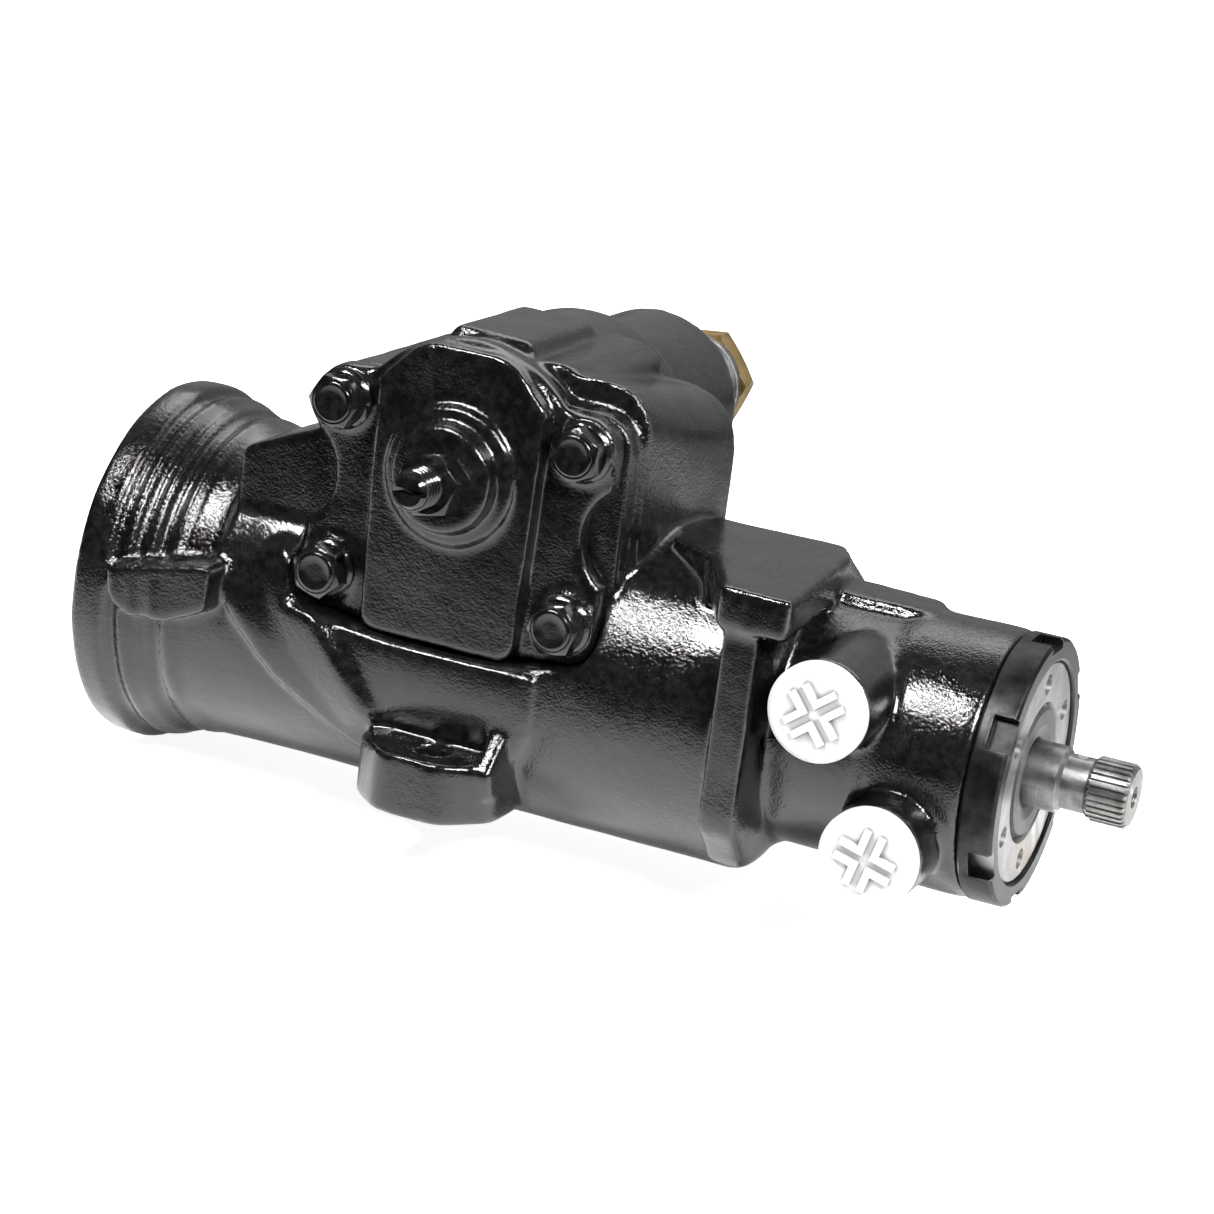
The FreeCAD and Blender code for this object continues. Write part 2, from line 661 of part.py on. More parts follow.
def build_sector_shaft():
    shaft = new_body("sector_shaft_blank", height="sector_height")
    spline_start = "rear_face + 4"
    revolve(shaft, "Revolution", "Y", [
        ("-48", "0"),
        ("-48", "shaft_radius - 1.05"),
        ("-47", "shaft_radius - running_gap"),
        ("-sector_half_width - 2", "shaft_radius - running_gap"),
        ("-sector_half_width", "shaft_radius + 2"),
        ("sector_half_width", "shaft_radius + 2"),
        ("sector_half_width + 2", "shaft_radius"),
        (spline_start, "shaft_radius"),
        (f"{spline_start} + 24", "shaft_radius - 1.6"),
        (f"{spline_start} + 26", "pitman_thread_radius + 1.2"),
        (f"{spline_start} + 27", "pitman_thread_radius"),
        ("pitman_end - 1.5", "pitman_thread_radius"),
        ("pitman_end", "pitman_thread_radius - 1.5"),
        ("pitman_end", "0")])
    pocket(shaft, "XZ", "-48", "-44.1", Disc("0", "0", "8.1"))
    groove = pocket(shaft, "XZ", spline_start, f"{spline_start} + 24",
                    [("-1.3", "shaft_radius + 1"), ("1.3", "shaft_radius + 1"),
                     ("0.3", "shaft_radius - 1.5"), ("-0.3", "shaft_radius - 1.5")])
    around(shaft, groove, "Y", 32)
    width = 2 * number("sector_half_width")
    teeth = feature_from("sector_teeth", sector_tooth_profile().extrude(Vector(0, width, 0)),
                         Placement(Vector(0, -width / 2, number("sector_height")), Rotation()))
    whole = DOC.addObject("Part::Fuse", "sector_shaft")
    whole.Base = shaft
    whole.Tool = teeth
    node(whole, "sector_shaft")


def needles(label, count, bearing, length, start, turn):
    """A full ring of needle rollers; start is the centre of the ring's near end, turn lays them down."""
    radius, circle = number(f"{bearing}_needle_radius"), number(f"{bearing}_needle_circle")
    spots = []
    for k in range(count):
        angle = 2 * math.pi * k / count
        offset = Vector(circle * math.cos(angle), circle * math.sin(angle), 0)
        spots.append(Placement(start + turn.multVec(offset), turn))
    copies(label, Part.makeCylinder(radius, length), spots)


def build_sector_bearings():
    turned("sector_bearing_shell", "Y",
           ring_profile("34", "76", "sector_needle_circle + sector_needle_radius + snug_gap",
                        "sector_bearing_radius - snug_gap", "0.5"), height="sector_height")
    needles("sector_needles", SECTOR_NEEDLE_COUNT, "sector", 40.0,
            Vector(0, 35, number("sector_height")), ALONG_Y)
    for label, start, thickness in (("sector_shaft_seal", "80", "7"), ("sector_dust_seal", "89", "5")):
        turned(label, "Y", [
            (start, "shaft_radius + running_gap"), (f"{start} + 1.4", "shaft_radius + running_gap"),
            (f"{start} + 2", "shaft_radius + 2"), (f"{start} + {thickness}", "shaft_radius + 2"),
            (f"{start} + {thickness}", "sector_seal_radius - snug_gap"),
            (start, "sector_seal_radius - snug_gap")], height="sector_height")
    turned("sector_seal_washer", "Y",
           ring_profile("87.1", "88.9", "shaft_radius + 0.4", "sector_seal_radius - running_gap"),
           height="sector_height")
    ring = new_body("sector_seal_retaining_ring", height="sector_height")
    revolve(ring, "Revolution", "Y", ring_profile("94.1", "95.7", "19", "sector_seal_radius - snug_gap"))
    pocket(ring, "XZ", "94", "96", [("-3", "15"), ("3", "15"), ("3", "24"), ("-3", "24")])
    node(ring, "sector_seal_retaining_ring")


def build_pitman_nut():
    face = "rear_face + 31.5"
    turned("pitman_lock_washer", "Y",
           ring_profile(face, f"{face} + 3.6", "pitman_thread_radius + snug_gap", "17.5", "0.4"),
           height="sector_height")
    nut = new_body("pitman_nut", height="sector_height")
    outer = f"{face} + 12.5"
    pad(nut, "XZ", f"{face} + 3.6", outer, hexagon("pitman_nut_width", 7.0))
    revolve(nut, "Groove", "Y", [(f"{outer} + 0.1", "pitman_nut_width / 2 - 0.6"),
                                 (f"{outer} + 0.1", "pitman_nut_width / 2 + 4"),
                                 (f"{outer} - 2.6", "pitman_nut_width / 2 + 4")])
    pocket(nut, "XZ", f"{face} + 3", "pitman_end", Disc("0", "0", "pitman_thread_radius + snug_gap"))
    node(nut, "pitman_nut")


# ---------------------------------------------------------------- worm, ball nut and rack

def ball_groove(start, turns, section_radius):
    """Helical ball groove about the X axis, swept half a turn at a time from the bottom of the bore."""
    lead = number("worm_lead")
    circle_radius = number("ball_circle_radius")
    half_turns = []
    for k in range(int(2 * turns)):
        half_turn = Part.makeHelix(lead, lead / 2, circle_radius)
        half_turn.Placement = Placement(Vector(0, 0, k * lead / 2), Rotation(Vector(0, 0, 1), 180 * k))
        half_turns += half_turn.Edges
    helix = Part.Wire(half_turns)
    section = Part.Wire(Part.Circle(Vector(circle_radius, 0, 0), Vector(0, 1, 0), section_radius).toShape())
    return feature_from("ball_groove", helix.makePipeShell([section], True, True),
                        Placement(Vector(start, 0, 0), ALONG_X))


def build_worm():
    blank = new_body("worm_blank")
    revolve(blank, "Revolution", "X", [
        ("-40", "0"),
        ("-40", "worm_radius - 1.5"),
        ("-38.5", "worm_radius"),
        ("62", "worm_radius"),
        ("66", "worm_radius - 1"),
        ("web_right", "worm_radius - 1"),
        ("web_right", "web_bore_radius - 0.5"),
        ("worm_flange_left", "web_bore_radius - 0.5"),
        ("worm_flange_left", "24"),
        ("valve_body_left - snug_gap", "24"),
        ("valve_body_left - snug_gap", "spool_bore_radius - running_gap"),
        ("valve_body_left + 8", "spool_bore_radius - running_gap"),
        ("valve_body_left + 8", "0")])
    # torsion bar socket and the slot that limits the stub's twist
    pocket(blank, "YZ", "62", "valve_body_left + 8", Disc("0", "0", "bar_end_radius + snug_gap"))
    for turn in (-TWIST_STOP, TWIST_STOP):
        pocket(blank, "YZ", "valve_body_left - 2", "valve_body_left + 8", turned_bar(turn, 8.2, 4.55))
    pocket(blank, "XZ", "-spool_bore_radius - 1", "-11",
           Disc("valve_body_left + 4", "0", "2 + snug_gap"))
    start = number("circuit_start") - 3 * number("worm_lead")
    groove = ball_groove(start, 8, number("ball_radius + running_gap"))
    node(cut_of("worm_shaft", blank, groove), "worm_shaft")


def turned_bar(turn, reach, half_width):
    """Corners of a bar through the origin at the angle turn, as expressions."""
    angle = math.radians(turn)
    corners = []
    for u, v in ((-reach, -half_width), (reach, -half_width), (reach, half_width), (-reach, half_width)):
        corners.append((f"{u * math.cos(angle) - v * math.sin(angle):.5f}",
                        f"{u * math.sin(angle) + v * math.cos(angle):.5f}"))
    return corners


def build_rack_piston():
    blank = new_body("rack_piston_blank")
    revolve(blank, "Revolution", "X", [
        ("-78", "20"),
        ("-66", "20"),
        ("-66", "nut_bore_radius"),
        ("46", "nut_bore_radius"),
        ("46", "bore_radius - 3"),
        ("44", "bore_radius - running_gap"),
        ("-69", "bore_radius - running_gap"),
        ("-69", "bore_radius - 3.4"),
        ("-73", "bore_radius - 3.4"),
        ("-73", "bore_radius - running_gap"),
        ("-76.5", "bore_radius - running_gap"),
        ("-78", "bore_radius - 1.5")])
    # rack flat and tooth spaces; the middle space is under the middle sector tooth
    top = "sector_height - gear_module * full_gear_teeth / 2 + gear_module"
    root = f"{top} - 2.25 * gear_module"
    space_half = "pi * gear_module / 4 + tooth_backlash / 4"
    bottom_half = f"({space_half} - 1.25 * gear_module * tan(pressure_angle))"
    top_half = f"({space_half} + gear_module * tan(pressure_angle))"
    pocket(blank, "XZ", "-bore_radius", "bore_radius",
           [("-36", top), ("36", top), ("36", "bore_radius + 1"), ("-36", "bore_radius + 1")])
    for k in (-1, 0, 1):
        middle = f"{k} * pi * gear_module"
        pocket(blank, "XZ", "-bore_radius", "bore_radius",
               [(f"{middle} - {bottom_half}", root), (f"{middle} + {bottom_half}", root),
                (f"{middle} + {top_half}", top), (f"{middle} + {top_half}", f"{top} + 1"),
                (f"{middle} - {top_half}", f"{top} + 1"), (f"{middle} - {top_half}", top)])
    # recess for the ball return, its two passages and the clamp's screw holes
    pocket(blank, "XZ", "-bore_radius", "bore_radius",
           [("circuit_start - 9", "-bore_radius - 1"), ("circuit_end + 9", "-bore_radius - 1"),
            ("circuit_end + 9", "guide_flat"), ("circuit_start - 9", "guide_flat")])
    for along in ("circuit_start", "circuit_end"):
        pocket(blank, "XY", "guide_flat - 1", "-nut_bore_radius + 2",
               Disc(along, "0", "guide_radius + snug_gap"))
    pocket(blank, "XY", "guide_flat - 1", "guide_flat + 8",
           *[Disc("circuit_middle", f"{side} * clamp_screw_offset", "1.9") for side in (-1, 1)])
    groove = ball_groove(number("circuit_start"), number("circuit_turns"),
                         number("ball_radius + running_gap"))
    node(cut_of("rack_piston", blank, groove), "rack_piston")
    turned("piston_ring_backup", "X",
           ring_profile("-72.9", "-69.1", "bore_radius - 3.38", "bore_radius - 1.9", "0.3"))
    turned("piston_ring", "X",
           ring_profile("-72.9", "-69.1", "bore_radius - 1.88", "bore_radius - 0.01", "0.2"))
    plug = new_body("piston_end_plug")
    revolve(plug, "Revolution", "X", ring_profile("-78.0", "-66.4", "0", "20 - snug_gap", "0.8"))
    pocket(plug, "YZ", "-78", "-71",
           [("-6.35", "-6.35"), ("6.35", "-6.35"), ("6.35", "6.35"), ("-6.35", "6.35")])
    node(plug, "piston_end_plug")


def build_ball_return():
    """Two half guides, their clamp with its screws, and the train of balls."""
    start, end = number("circuit_start"), number("circuit_end")
    depth = number("guide_line")
    bend = 6.0
    upper = -number("nut_bore_radius") - 3.2

    def u_path(top):
        """Centre line: down one leg, along below the nut, and up the other."""
        spots = [Vector(start, 0, top), Vector(start, 0, depth + bend), Vector(start + bend, 0, depth),
                 Vector(end - bend, 0, depth), Vector(end, 0, depth + bend), Vector(end, 0, top)]
        diagonal = bend * (1 - math.sqrt(0.5))
        left_mid = Vector(start + diagonal, 0, depth + diagonal)
        right_mid = Vector(end - diagonal, 0, depth + diagonal)
        curves = [Part.LineSegment(spots[0], spots[1]), Part.Arc(spots[1], left_mid, spots[2]),
                  Part.LineSegment(spots[2], spots[3]), Part.Arc(spots[3], right_mid, spots[4]),
                  Part.LineSegment(spots[4], spots[5])]
        return Part.Wire([curve.toShape() for curve in curves])

    def tube(radius, top):
        section = Part.Wire(Part.Circle(Vector(start, 0, top), Vector(0, 0, 1), radius).toShape())
        return u_path(top).makePipeShell([section], True, True)

    outer = number("guide_radius")
    pipe = tube(outer, upper).cut(tube(number("ball_radius + running_gap"), upper + 1))
    reach = 100.0
    halves = []
    for side in (0.0, -reach):
        block = Part.makeBox(2 * reach, reach, reach, Vector(-reach, side, -reach))
        halves.append(pipe.common(block).Solids[0])
    node(feature_from("ball_return_guides", Part.makeCompound(halves)), "ball_return_guides")

    clamp = new_body("ball_guide_clamp")
    thickness = "1.4"
    inner = "guide_radius + 0.1"
    low = f"guide_line - ({inner})"
    pad(clamp, "YZ", "circuit_middle - 6", "circuit_middle + 6", [
        ("-clamp_foot", "guide_flat"), (f"-({inner})", "guide_flat"), (f"-({inner})", low, "1.2"),
        (inner, low, "1.2"), (inner, "guide_flat"), ("clamp_foot", "guide_flat"),
        ("clamp_foot", f"guide_flat - {thickness}"),
        (f"{inner} + {thickness}", f"guide_flat - {thickness}"),
        (f"{inner} + {thickness}", f"{low} - {thickness}", "2"),
        (f"-({inner} + {thickness})", f"{low} - {thickness}", "2"),
        (f"-({inner} + {thickness})", f"guide_flat - {thickness}"),
        ("-clamp_foot", f"guide_flat - {thickness}")])
    pocket(clamp, "XY", "guide_flat - 3", "guide_flat + 1",
           *[Disc("circuit_middle", f"{side} * clamp_screw_offset", "2") for side in (-1, 1)])
    node(clamp, "ball_guide_clamp")

    screw = Part.makeCylinder(1.88, 8.0).fuse(Part.makeCylinder(3.2, 2.0, Vector(0, 0, -2)))
    socket = Part.makeBox(7.0, 0.9, 0.8, Vector(-3.5, -0.45, -2.01))
    screw = screw.cut(socket)
    foot = number(f"guide_flat - {thickness}")
    middle, offset = number("circuit_middle"), number("clamp_screw_offset")
    spots = [Placement(Vector(middle, side * offset, foot), Rotation()) for side in (-1, 1)]
    copies("ball_guide_screws", screw, spots)

    lead, circle_radius = number("worm_lead"), number("ball_circle_radius")
    turns = number("circuit_turns")
    ball = Part.makeSphere(number("ball_radius"))
    count = int(turns * math.hypot(2 * math.pi * circle_radius, lead) / (2 * number("ball_radius") + 0.3))
    places = []
    for k in range(1, count):
        angle = 2 * math.pi * turns * k / count
        places.append(Vector(start + lead * angle / (2 * math.pi), circle_radius * math.sin(angle),
                             -circle_radius * math.cos(angle)))
    path = u_path(upper)
    spacing = 2 * number("ball_radius") + 0.2
    return_count = int(path.Length / spacing)
    for spot in path.discretize(return_count)[1:-1]:
        places.append(spot)
    copies("recirculating_balls", ball, [Placement(place, Rotation()) for place in places])


# ---------------------------------------------------------------- rotary valve and input stub

def build_valve():
    body = new_body("valve_body")
    outer = "valve_bore_radius - running_gap"
    revolve(body, "Revolution", "X",
            ring_profile("valve_body_left", "valve_body_right", "spool_bore_radius", outer, "0.5"))
    grooves = [(middle, f"{RING_HALF_WIDTH + 0.05}", RING_DEPTH) for middle in RING_MIDDLES]
    grooves += [(middle, half, ANNULUS_DEPTH) for middle, half in ANNULI]
    for middle, half, depth in grooves:
        revolve(body, "Groove", "X", ring_profile(f"{middle} - {half}", f"{middle} + {half}",
                                                  f"{outer} - {depth}", f"{outer} + 1"))
    for middle, _ in ANNULI:
        hole = pocket(body, "XY", "spool_bore_radius - 4", "valve_bore_radius + 1",
                      Disc(middle, "0", "1.8"))
        around(body, hole, "X", 4)
    pocket(body, "XZ", "-valve_bore_radius - 1", "-spool_bore_radius + 1",
           Disc("valve_body_left + 4", "0", "2 + snug_gap"))
    node(body, "valve_body")
    inner_edge = number(f"{outer} - {RING_DEPTH}") + 0.02
    outer_edge = number("valve_bore_radius") - 0.01
    width = 2 * RING_HALF_WIDTH
    ring = Part.makeCylinder(outer_edge, width).cut(Part.makeCylinder(inner_edge, width))
    spots = [Placement(Vector(number(middle) - RING_HALF_WIDTH, 0, 0), ALONG_X) for middle in RING_MIDDLES]
    copies("valve_body_rings", ring, spots)
    worm_pin = new_body("valve_drive_pin", along="valve_body_left + 4")
    pad(worm_pin, "XZ", "-valve_bore_radius + 1", "-11.1", Disc("0", "0", "2"))
    node(worm_pin, "valve_drive_pin")

    spool = new_body("valve_spool")
    revolve(spool, "Revolution", "X",
            ring_profile("valve_body_left + 8.5", "valve_body_right - 1", "stub_radius + running_gap",
                         "spool_bore_radius - running_gap", "0.6"))
    slot = pocket(spool, "YZ", "valve_body_left + 14", "valve_body_right - 12",
                  [("-1.8", "spool_bore_radius - 1.6"), ("1.8", "spool_bore_radius - 1.6"),
                   ("1.8", "spool_bore_radius + 1"), ("-1.8", "spool_bore_radius + 1")])
    around(spool, slot, "X", 8)
    pocket(spool, "XY", "5", "spool_bore_radius + 1", Disc("valve_body_right - 6", "0", "1.5 + snug_gap"))
    revolve(spool, "Groove", "X", ring_profile("valve_body_right - 4", "valve_body_right - 1.8",
                                               "stub_radius", "stub_radius + 1.9"))
    node(spool, "valve_spool")
    turned("spool_oring", "X", ring_profile("valve_body_right - 3.9", "valve_body_right - 1.9",
                                            "stub_radius + 0.01", "stub_radius + 1.85", "0.5"))
    stub_pin = new_body("spool_drive_pin", along="valve_body_right - 6")
    pad(stub_pin, "XY", "6.0", "spool_bore_radius - 0.5", Disc("0", "0", "1.5"))
    node(stub_pin, "spool_drive_pin")


def build_stub():
    stub = new_body("stub_shaft")
    spline_left, neck_left = "stub_tip - 12.6", "stub_tip - 21"
    bore = "bar_end_radius + snug_gap"
    revolve(stub, "Revolution", "X", [
        ("valve_body_left - 1.5", "bar_radius + 2"),
        ("valve_body_left - 1.5", "8"),
        ("valve_body_left + 8.2", "8"),
        ("valve_body_left + 8.2", "stub_radius"),
        (f"{neck_left} - 13", "stub_radius"),
        (f"{neck_left} - 13", "stub_radius + 0.25"),
        (neck_left, "stub_radius + 0.25"),
        (f"{neck_left} + 1.2", "8.2"),
        (spline_left, "8.2"),
        (f"{spline_left} + 1.2", "stub_radius"),
        ("stub_tip - 1.2", "stub_radius"),
        ("stub_tip", "stub_radius - 1.2"),
        ("stub_tip", "3.2"),
        ("stub_tip - 9", "3.2"),
        ("stub_tip - 9", bore),
        ("stub_tip - 28", bore),
        ("stub_tip - 30", "bar_radius + 2")])
    # tang that sits in the worm's slot
    for near, far in (("4.4", "12"), ("-12", "-4.4")):
        pocket(stub, "YZ", "valve_body_left - 2", "valve_body_left + 8.1",
               [("-12", near), ("12", near), ("12", far), ("-12", far)])
    groove = pocket(stub, "YZ", f"{spline_left} + 0.5", "stub_tip + 1",
                    [("-0.8", "stub_radius + 0.5"), ("0.8", "stub_radius + 0.5"),
                     ("0.2", "stub_radius - 0.9"), ("-0.2", "stub_radius - 0.9")])
    around(stub, groove, "X", 30)
    # clamp bolt flat and the cross holes of the two pins
    pocket(stub, "YZ", neck_left, f"{spline_left} + 2",
           [("-9", "-9.8"), ("9", "-9.8"), ("9", "-7.3"), ("-9", "-7.3")])
    pocket(stub, "XY", "-10", "10", Disc(f"{neck_left} + 4.5", "0", "1.6 + snug_gap"))
    pocket(stub, "XY", "5.5", "12", Disc("valve_body_right - 6", "0", "1.5 + snug_gap"))
    node(stub, "stub_shaft")
    upper_pin = new_body("torsion_bar_pin", along=f"{neck_left} + 4.5")
    pad(upper_pin, "XY", "-7.2", "8.1", Disc("0", "0", "1.6"))
    node(upper_pin, "torsion_bar_pin")

    bar = new_body("torsion_bar")
    revolve(bar, "Revolution", "X", [
        ("62.3", "0"), ("62.3", "bar_end_radius - 0.5"), ("62.8", "bar_end_radius"),
        ("80", "bar_end_radius"), ("84", "bar_radius"), ("stub_tip - 32", "bar_radius"),
        ("stub_tip - 27", "bar_end_radius"), ("stub_tip - 9.5", "bar_end_radius"), ("stub_tip - 9.5", "0")])
    pocket(bar, "XY", "-10", "10", Disc(f"{neck_left} + 4.5", "0", "1.6 + snug_gap"))
    node(bar, "torsion_bar")


def build_thrust_bearing(name, left, inner, outer):
    """Two hardened races with a caged set of radial rollers between them, along the worm axis."""
    for side, start in (("left", left), ("right", f"{left} + 4")):
        turned(f"{name}_race_{side}", "X", ring_profile(start, f"{start} + 1", inner, outer, "0.2"))
    middle = number(left) + 2.5
    inner_value, outer_value = number(inner), number(outer)
    roller_start, roller_length = inner_value + 1.5, outer_value - inner_value - 3.5
    spots = [Placement(Vector(middle, 0, 0), Rotation(Vector(1, 0, 0), 360 * k / THRUST_ROLLER_COUNT))
             for k in range(THRUST_ROLLER_COUNT)]
    thickness = 1.2
    cage = Part.makeCylinder(outer_value - 0.8, thickness)
    cage = cage.cut(Part.makeCylinder(inner_value + 0.4, thickness))
    cage.Placement = Placement(Vector(middle - thickness / 2, 0, 0), ALONG_X)
    window = Part.makeCylinder(THRUST_ROLLER_RADIUS + 0.03, roller_length + 0.1,
                               Vector(0, 0, roller_start - 0.05))
    windows = []
    for spot in spots:
        opening = window.copy()
        opening.Placement = spot
        windows.append(opening)
    node(feature_from(f"{name}_cage", cage.cut(Part.makeCompound(windows))), f"{name}_cage")
    roller = Part.makeCylinder(THRUST_ROLLER_RADIUS, roller_length, Vector(0, 0, roller_start))
    copies(f"{name}_rollers", roller, spots)


# ---------------------------------------------------------------- adjuster plug

def build_adjuster():
    plug = new_body("adjuster_plug")
    thread = "plug_thread_radius - snug_gap"
    revolve(plug, "Revolution", "X", [
        ("plug_left - 2.3", "stub_bearing_radius"),
        ("plug_left - 2.3", "valve_bore_radius - 1"),
        ("plug_left", "valve_bore_radius - 1"),
        ("plug_left", thread + " - 1"),
        ("plug_left + 1", thread),
        ("plug_left + 2.2", thread),
        ("plug_left + 2.2", thread + " - 2.2"),
        ("plug_left + 5", thread + " - 2.2"),
        ("plug_left + 5", thread),
        ("plug_right - 0.8", thread),
        ("plug_right", thread + " - 0.8"),
        ("plug_right", "21"),
        ("plug_right - 2.2", "20"),
        ("plug_right - 2.2", "stub_seal_radius"),
        ("plug_left + 13.5", "stub_seal_radius"),
        ("plug_left + 13.5", "stub_bearing_radius")])
    hole = pocket(plug, "YZ", "plug_right - 6", "plug_right + 1", Disc("0", "26.5", "3.1"))
    around(plug, hole, "X", 6)
    node(plug, "adjuster_plug")
    turned("adjuster_plug_oring", "X",
           ring_profile("plug_left + 2.3", "plug_left + 4.9", thread + " - 2.15",
                        "plug_thread_radius - 0.01", "0.6"))
    nut = new_body("adjuster_locknut")
    revolve(nut, "Revolution", "X", [
        ("right_face", "plug_thread_radius"), ("right_face", "valve_case_radius - 0.6"),
        ("right_face + 0.6", "valve_case_radius"), ("locknut_right - 0.9", "valve_case_radius"),
        ("locknut_right", "valve_case_radius - 0.9"), ("locknut_right", "plug_thread_radius + 0.6"),
        ("locknut_right - 0.6", "plug_thread_radius")])
    notch = pocket(nut, "YZ", "right_face + 3.5", "locknut_right + 1",
                   [("-5", "valve_case_radius - 3"), ("5", "valve_case_radius - 3"),
                    ("5", "valve_case_radius + 2"), ("-5", "valve_case_radius + 2")])
    around(nut, notch, "X", 6)
    node(nut, "adjuster_locknut")
    turned("stub_bearing_shell", "X",
           ring_profile("plug_left + 0.4", "plug_left + 13",
                        "stub_needle_circle + stub_needle_radius + snug_gap",
                        "stub_bearing_radius - snug_gap", "0.4"))
    needles("stub_needles", STUB_NEEDLE_COUNT, "stub", 11.5,
            Vector(number("plug_left") + 1, 0, 0), ALONG_X)
    turned("stub_shaft_seal", "X", [
        ("plug_left + 13.6", "stub_radius + 0.03"), ("plug_left + 14.6", "stub_radius + 0.03"),
        ("plug_left + 15.2", "stub_radius + 2"), ("plug_left + 17", "stub_radius + 2"),
        ("plug_left + 17", "stub_seal_radius - snug_gap"),
        ("plug_left + 13.6", "stub_seal_radius - snug_gap")])
    turned("stub_seal_retaining_ring", "X",
           ring_profile("plug_left + 17.1", "plug_left + 18.1", "12.6", "stub_seal_radius - snug_gap"))
    turned("dust_seal", "X", [
        ("plug_right - 2.1", "stub_radius + 0.3"), ("plug_right - 1", "stub_radius + 0.3"),
        ("plug_right + 0.2", "14"), ("plug_right + 0.2", "18.4"), ("plug_right - 2.1", "19.6")])


# ---------------------------------------------------------------- ports

def l_rib(turn):
    """Corners of one L-shaped rib of a port cap, turned about the cap's centre."""
    angle = math.radians(turn)
    corners = []
    for u, v in ((1.2, 1.2), (8.6, 1.2), (8.6, 3.3), (3.3, 3.3), (3.3, 8.6), (1.2, 8.6)):
        corners.append((f"{u * math.cos(angle) - v * math.sin(angle):.5f}",
                        f"{u * math.sin(angle) + v * math.cos(angle):.5f}"))
    return corners


def build_ports():
    for name, turn, (along, height) in zip(("pressure_port", "return_port"), (38, -15), PORTS):
        turned(f"{name}_seat", "Y", [
            ("port_face + 15.2", "2.6"), ("port_face + 15.2", "3.2"), ("port_face + 18", "6.98"),
            ("port_face + 21", "6.98"), ("port_face + 21", "2.6")], along=along, height=height)
        cap = new_body(f"{name}_cap", along=along, height=height)
        revolve(cap, "Revolution", "Y", [
            ("port_face - 4.5", "0"), ("port_face - 4.5", "port_cap_radius - 1.5"),
            ("port_face - 3", "port_cap_radius"), ("port_face", "port_cap_radius"),
            ("port_face", "port_thread_radius - snug_gap"), ("port_face + 9", "port_thread_radius - 0.3"),
            ("port_face + 9", "port_thread_radius - 2"), ("port_face + 1", "port_thread_radius - 2"),
            ("port_face + 1", "0")])
        # four moulded L ribs that leave a cross slot between them
        pad(cap, "XZ", "port_face - 6", "port_face - 4.4", *[l_rib(turn + 90 * k) for k in range(4)])
        node(cap, f"{name}_cap")
    turned("check_valve_poppet", "Y", [
        ("port_face + 21.1", "0"), ("port_face + 21.1", "3.4"), ("port_face + 22.4", "4.3"),
        ("port_face + 24", "4.3"), ("port_face + 24", "2.0"), ("port_face + 26", "2.0"),
        ("port_face + 26", "0")],
        along=PORTS[0][0], height=PORTS[0][1])
    # compression spring between the poppet's collar and the step in the passage
    wire, coil, pitch = 0.55, 3.3, 1.9
    first, last = number("port_face") + 24 + 1.2 * wire, number("spring_seat") - 1.2 * wire
    helix = Part.Wire(Part.makeHelix(pitch, last - first, coil))
    section = Part.Wire(Part.Circle(Vector(coil, 0, 0), Vector(0, 1, 0), wire).toShape())
    spring = helix.makePipeShell([section], True, True)
    centre = Vector(number(PORTS[0][0]), first, number(PORTS[0][1]))
    node(feature_from("check_valve_spring", spring, Placement(centre, ALONG_Y)), "check_valve_spring")


# ---------------------------------------------------------------- assembly, checks and export

def check_and_export():
    DOC.recompute()
    faults = []
    for item in DOC.Objects:
        if {"Invalid", "Error"} & set(item.State):
            faults.append(f"{item.Name}: {item.State}")
        base = getattr(item, "BaseFeature", None)
        if item.TypeId in ("PartDesign::Pocket", "PartDesign::Groove") and base is not None:
            if item.Shape.isNull() or base.Shape.isNull():
                faults.append(f"{item.Name}: no shape")
            elif item.Shape.Volume >= base.Shape.Volume - 1e-6:
                faults.append(f"{item.Name}: cuts nothing")
    for item in NODES:
        if item.Shape.isNull() or not item.Shape.isValid() or not item.Shape.Solids:
            faults.append(f"{item.Label}: bad shape")
    if faults:
        raise RuntimeError("; ".join(faults))
    os.makedirs("parts", exist_ok=True)
    for item in NODES:
        item.Shape.exportStep(f"parts/{item.Label}.step")


build_housing()
build_end_plug()
build_side_cover()
build_cover_bolts()
build_lash_adjuster()
build_sector_shaft()
build_sector_bearings()
build_pitman_nut()
build_worm()
build_rack_piston()
build_ball_return()
build_valve()
build_stub()
build_thrust_bearing("lower_thrust", "web_right", "web_bore_radius - 0.4", "valve_bore_radius - 1")
build_thrust_bearing("upper_thrust", "valve_body_right + 0.1", "13.5", "valve_bore_radius - 1")
build_adjuster()
build_ports()
check_and_export()
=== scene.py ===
import json
import math

import bmesh
import bpy
import numpy as np
from mathutils import Matrix, Vector, noise


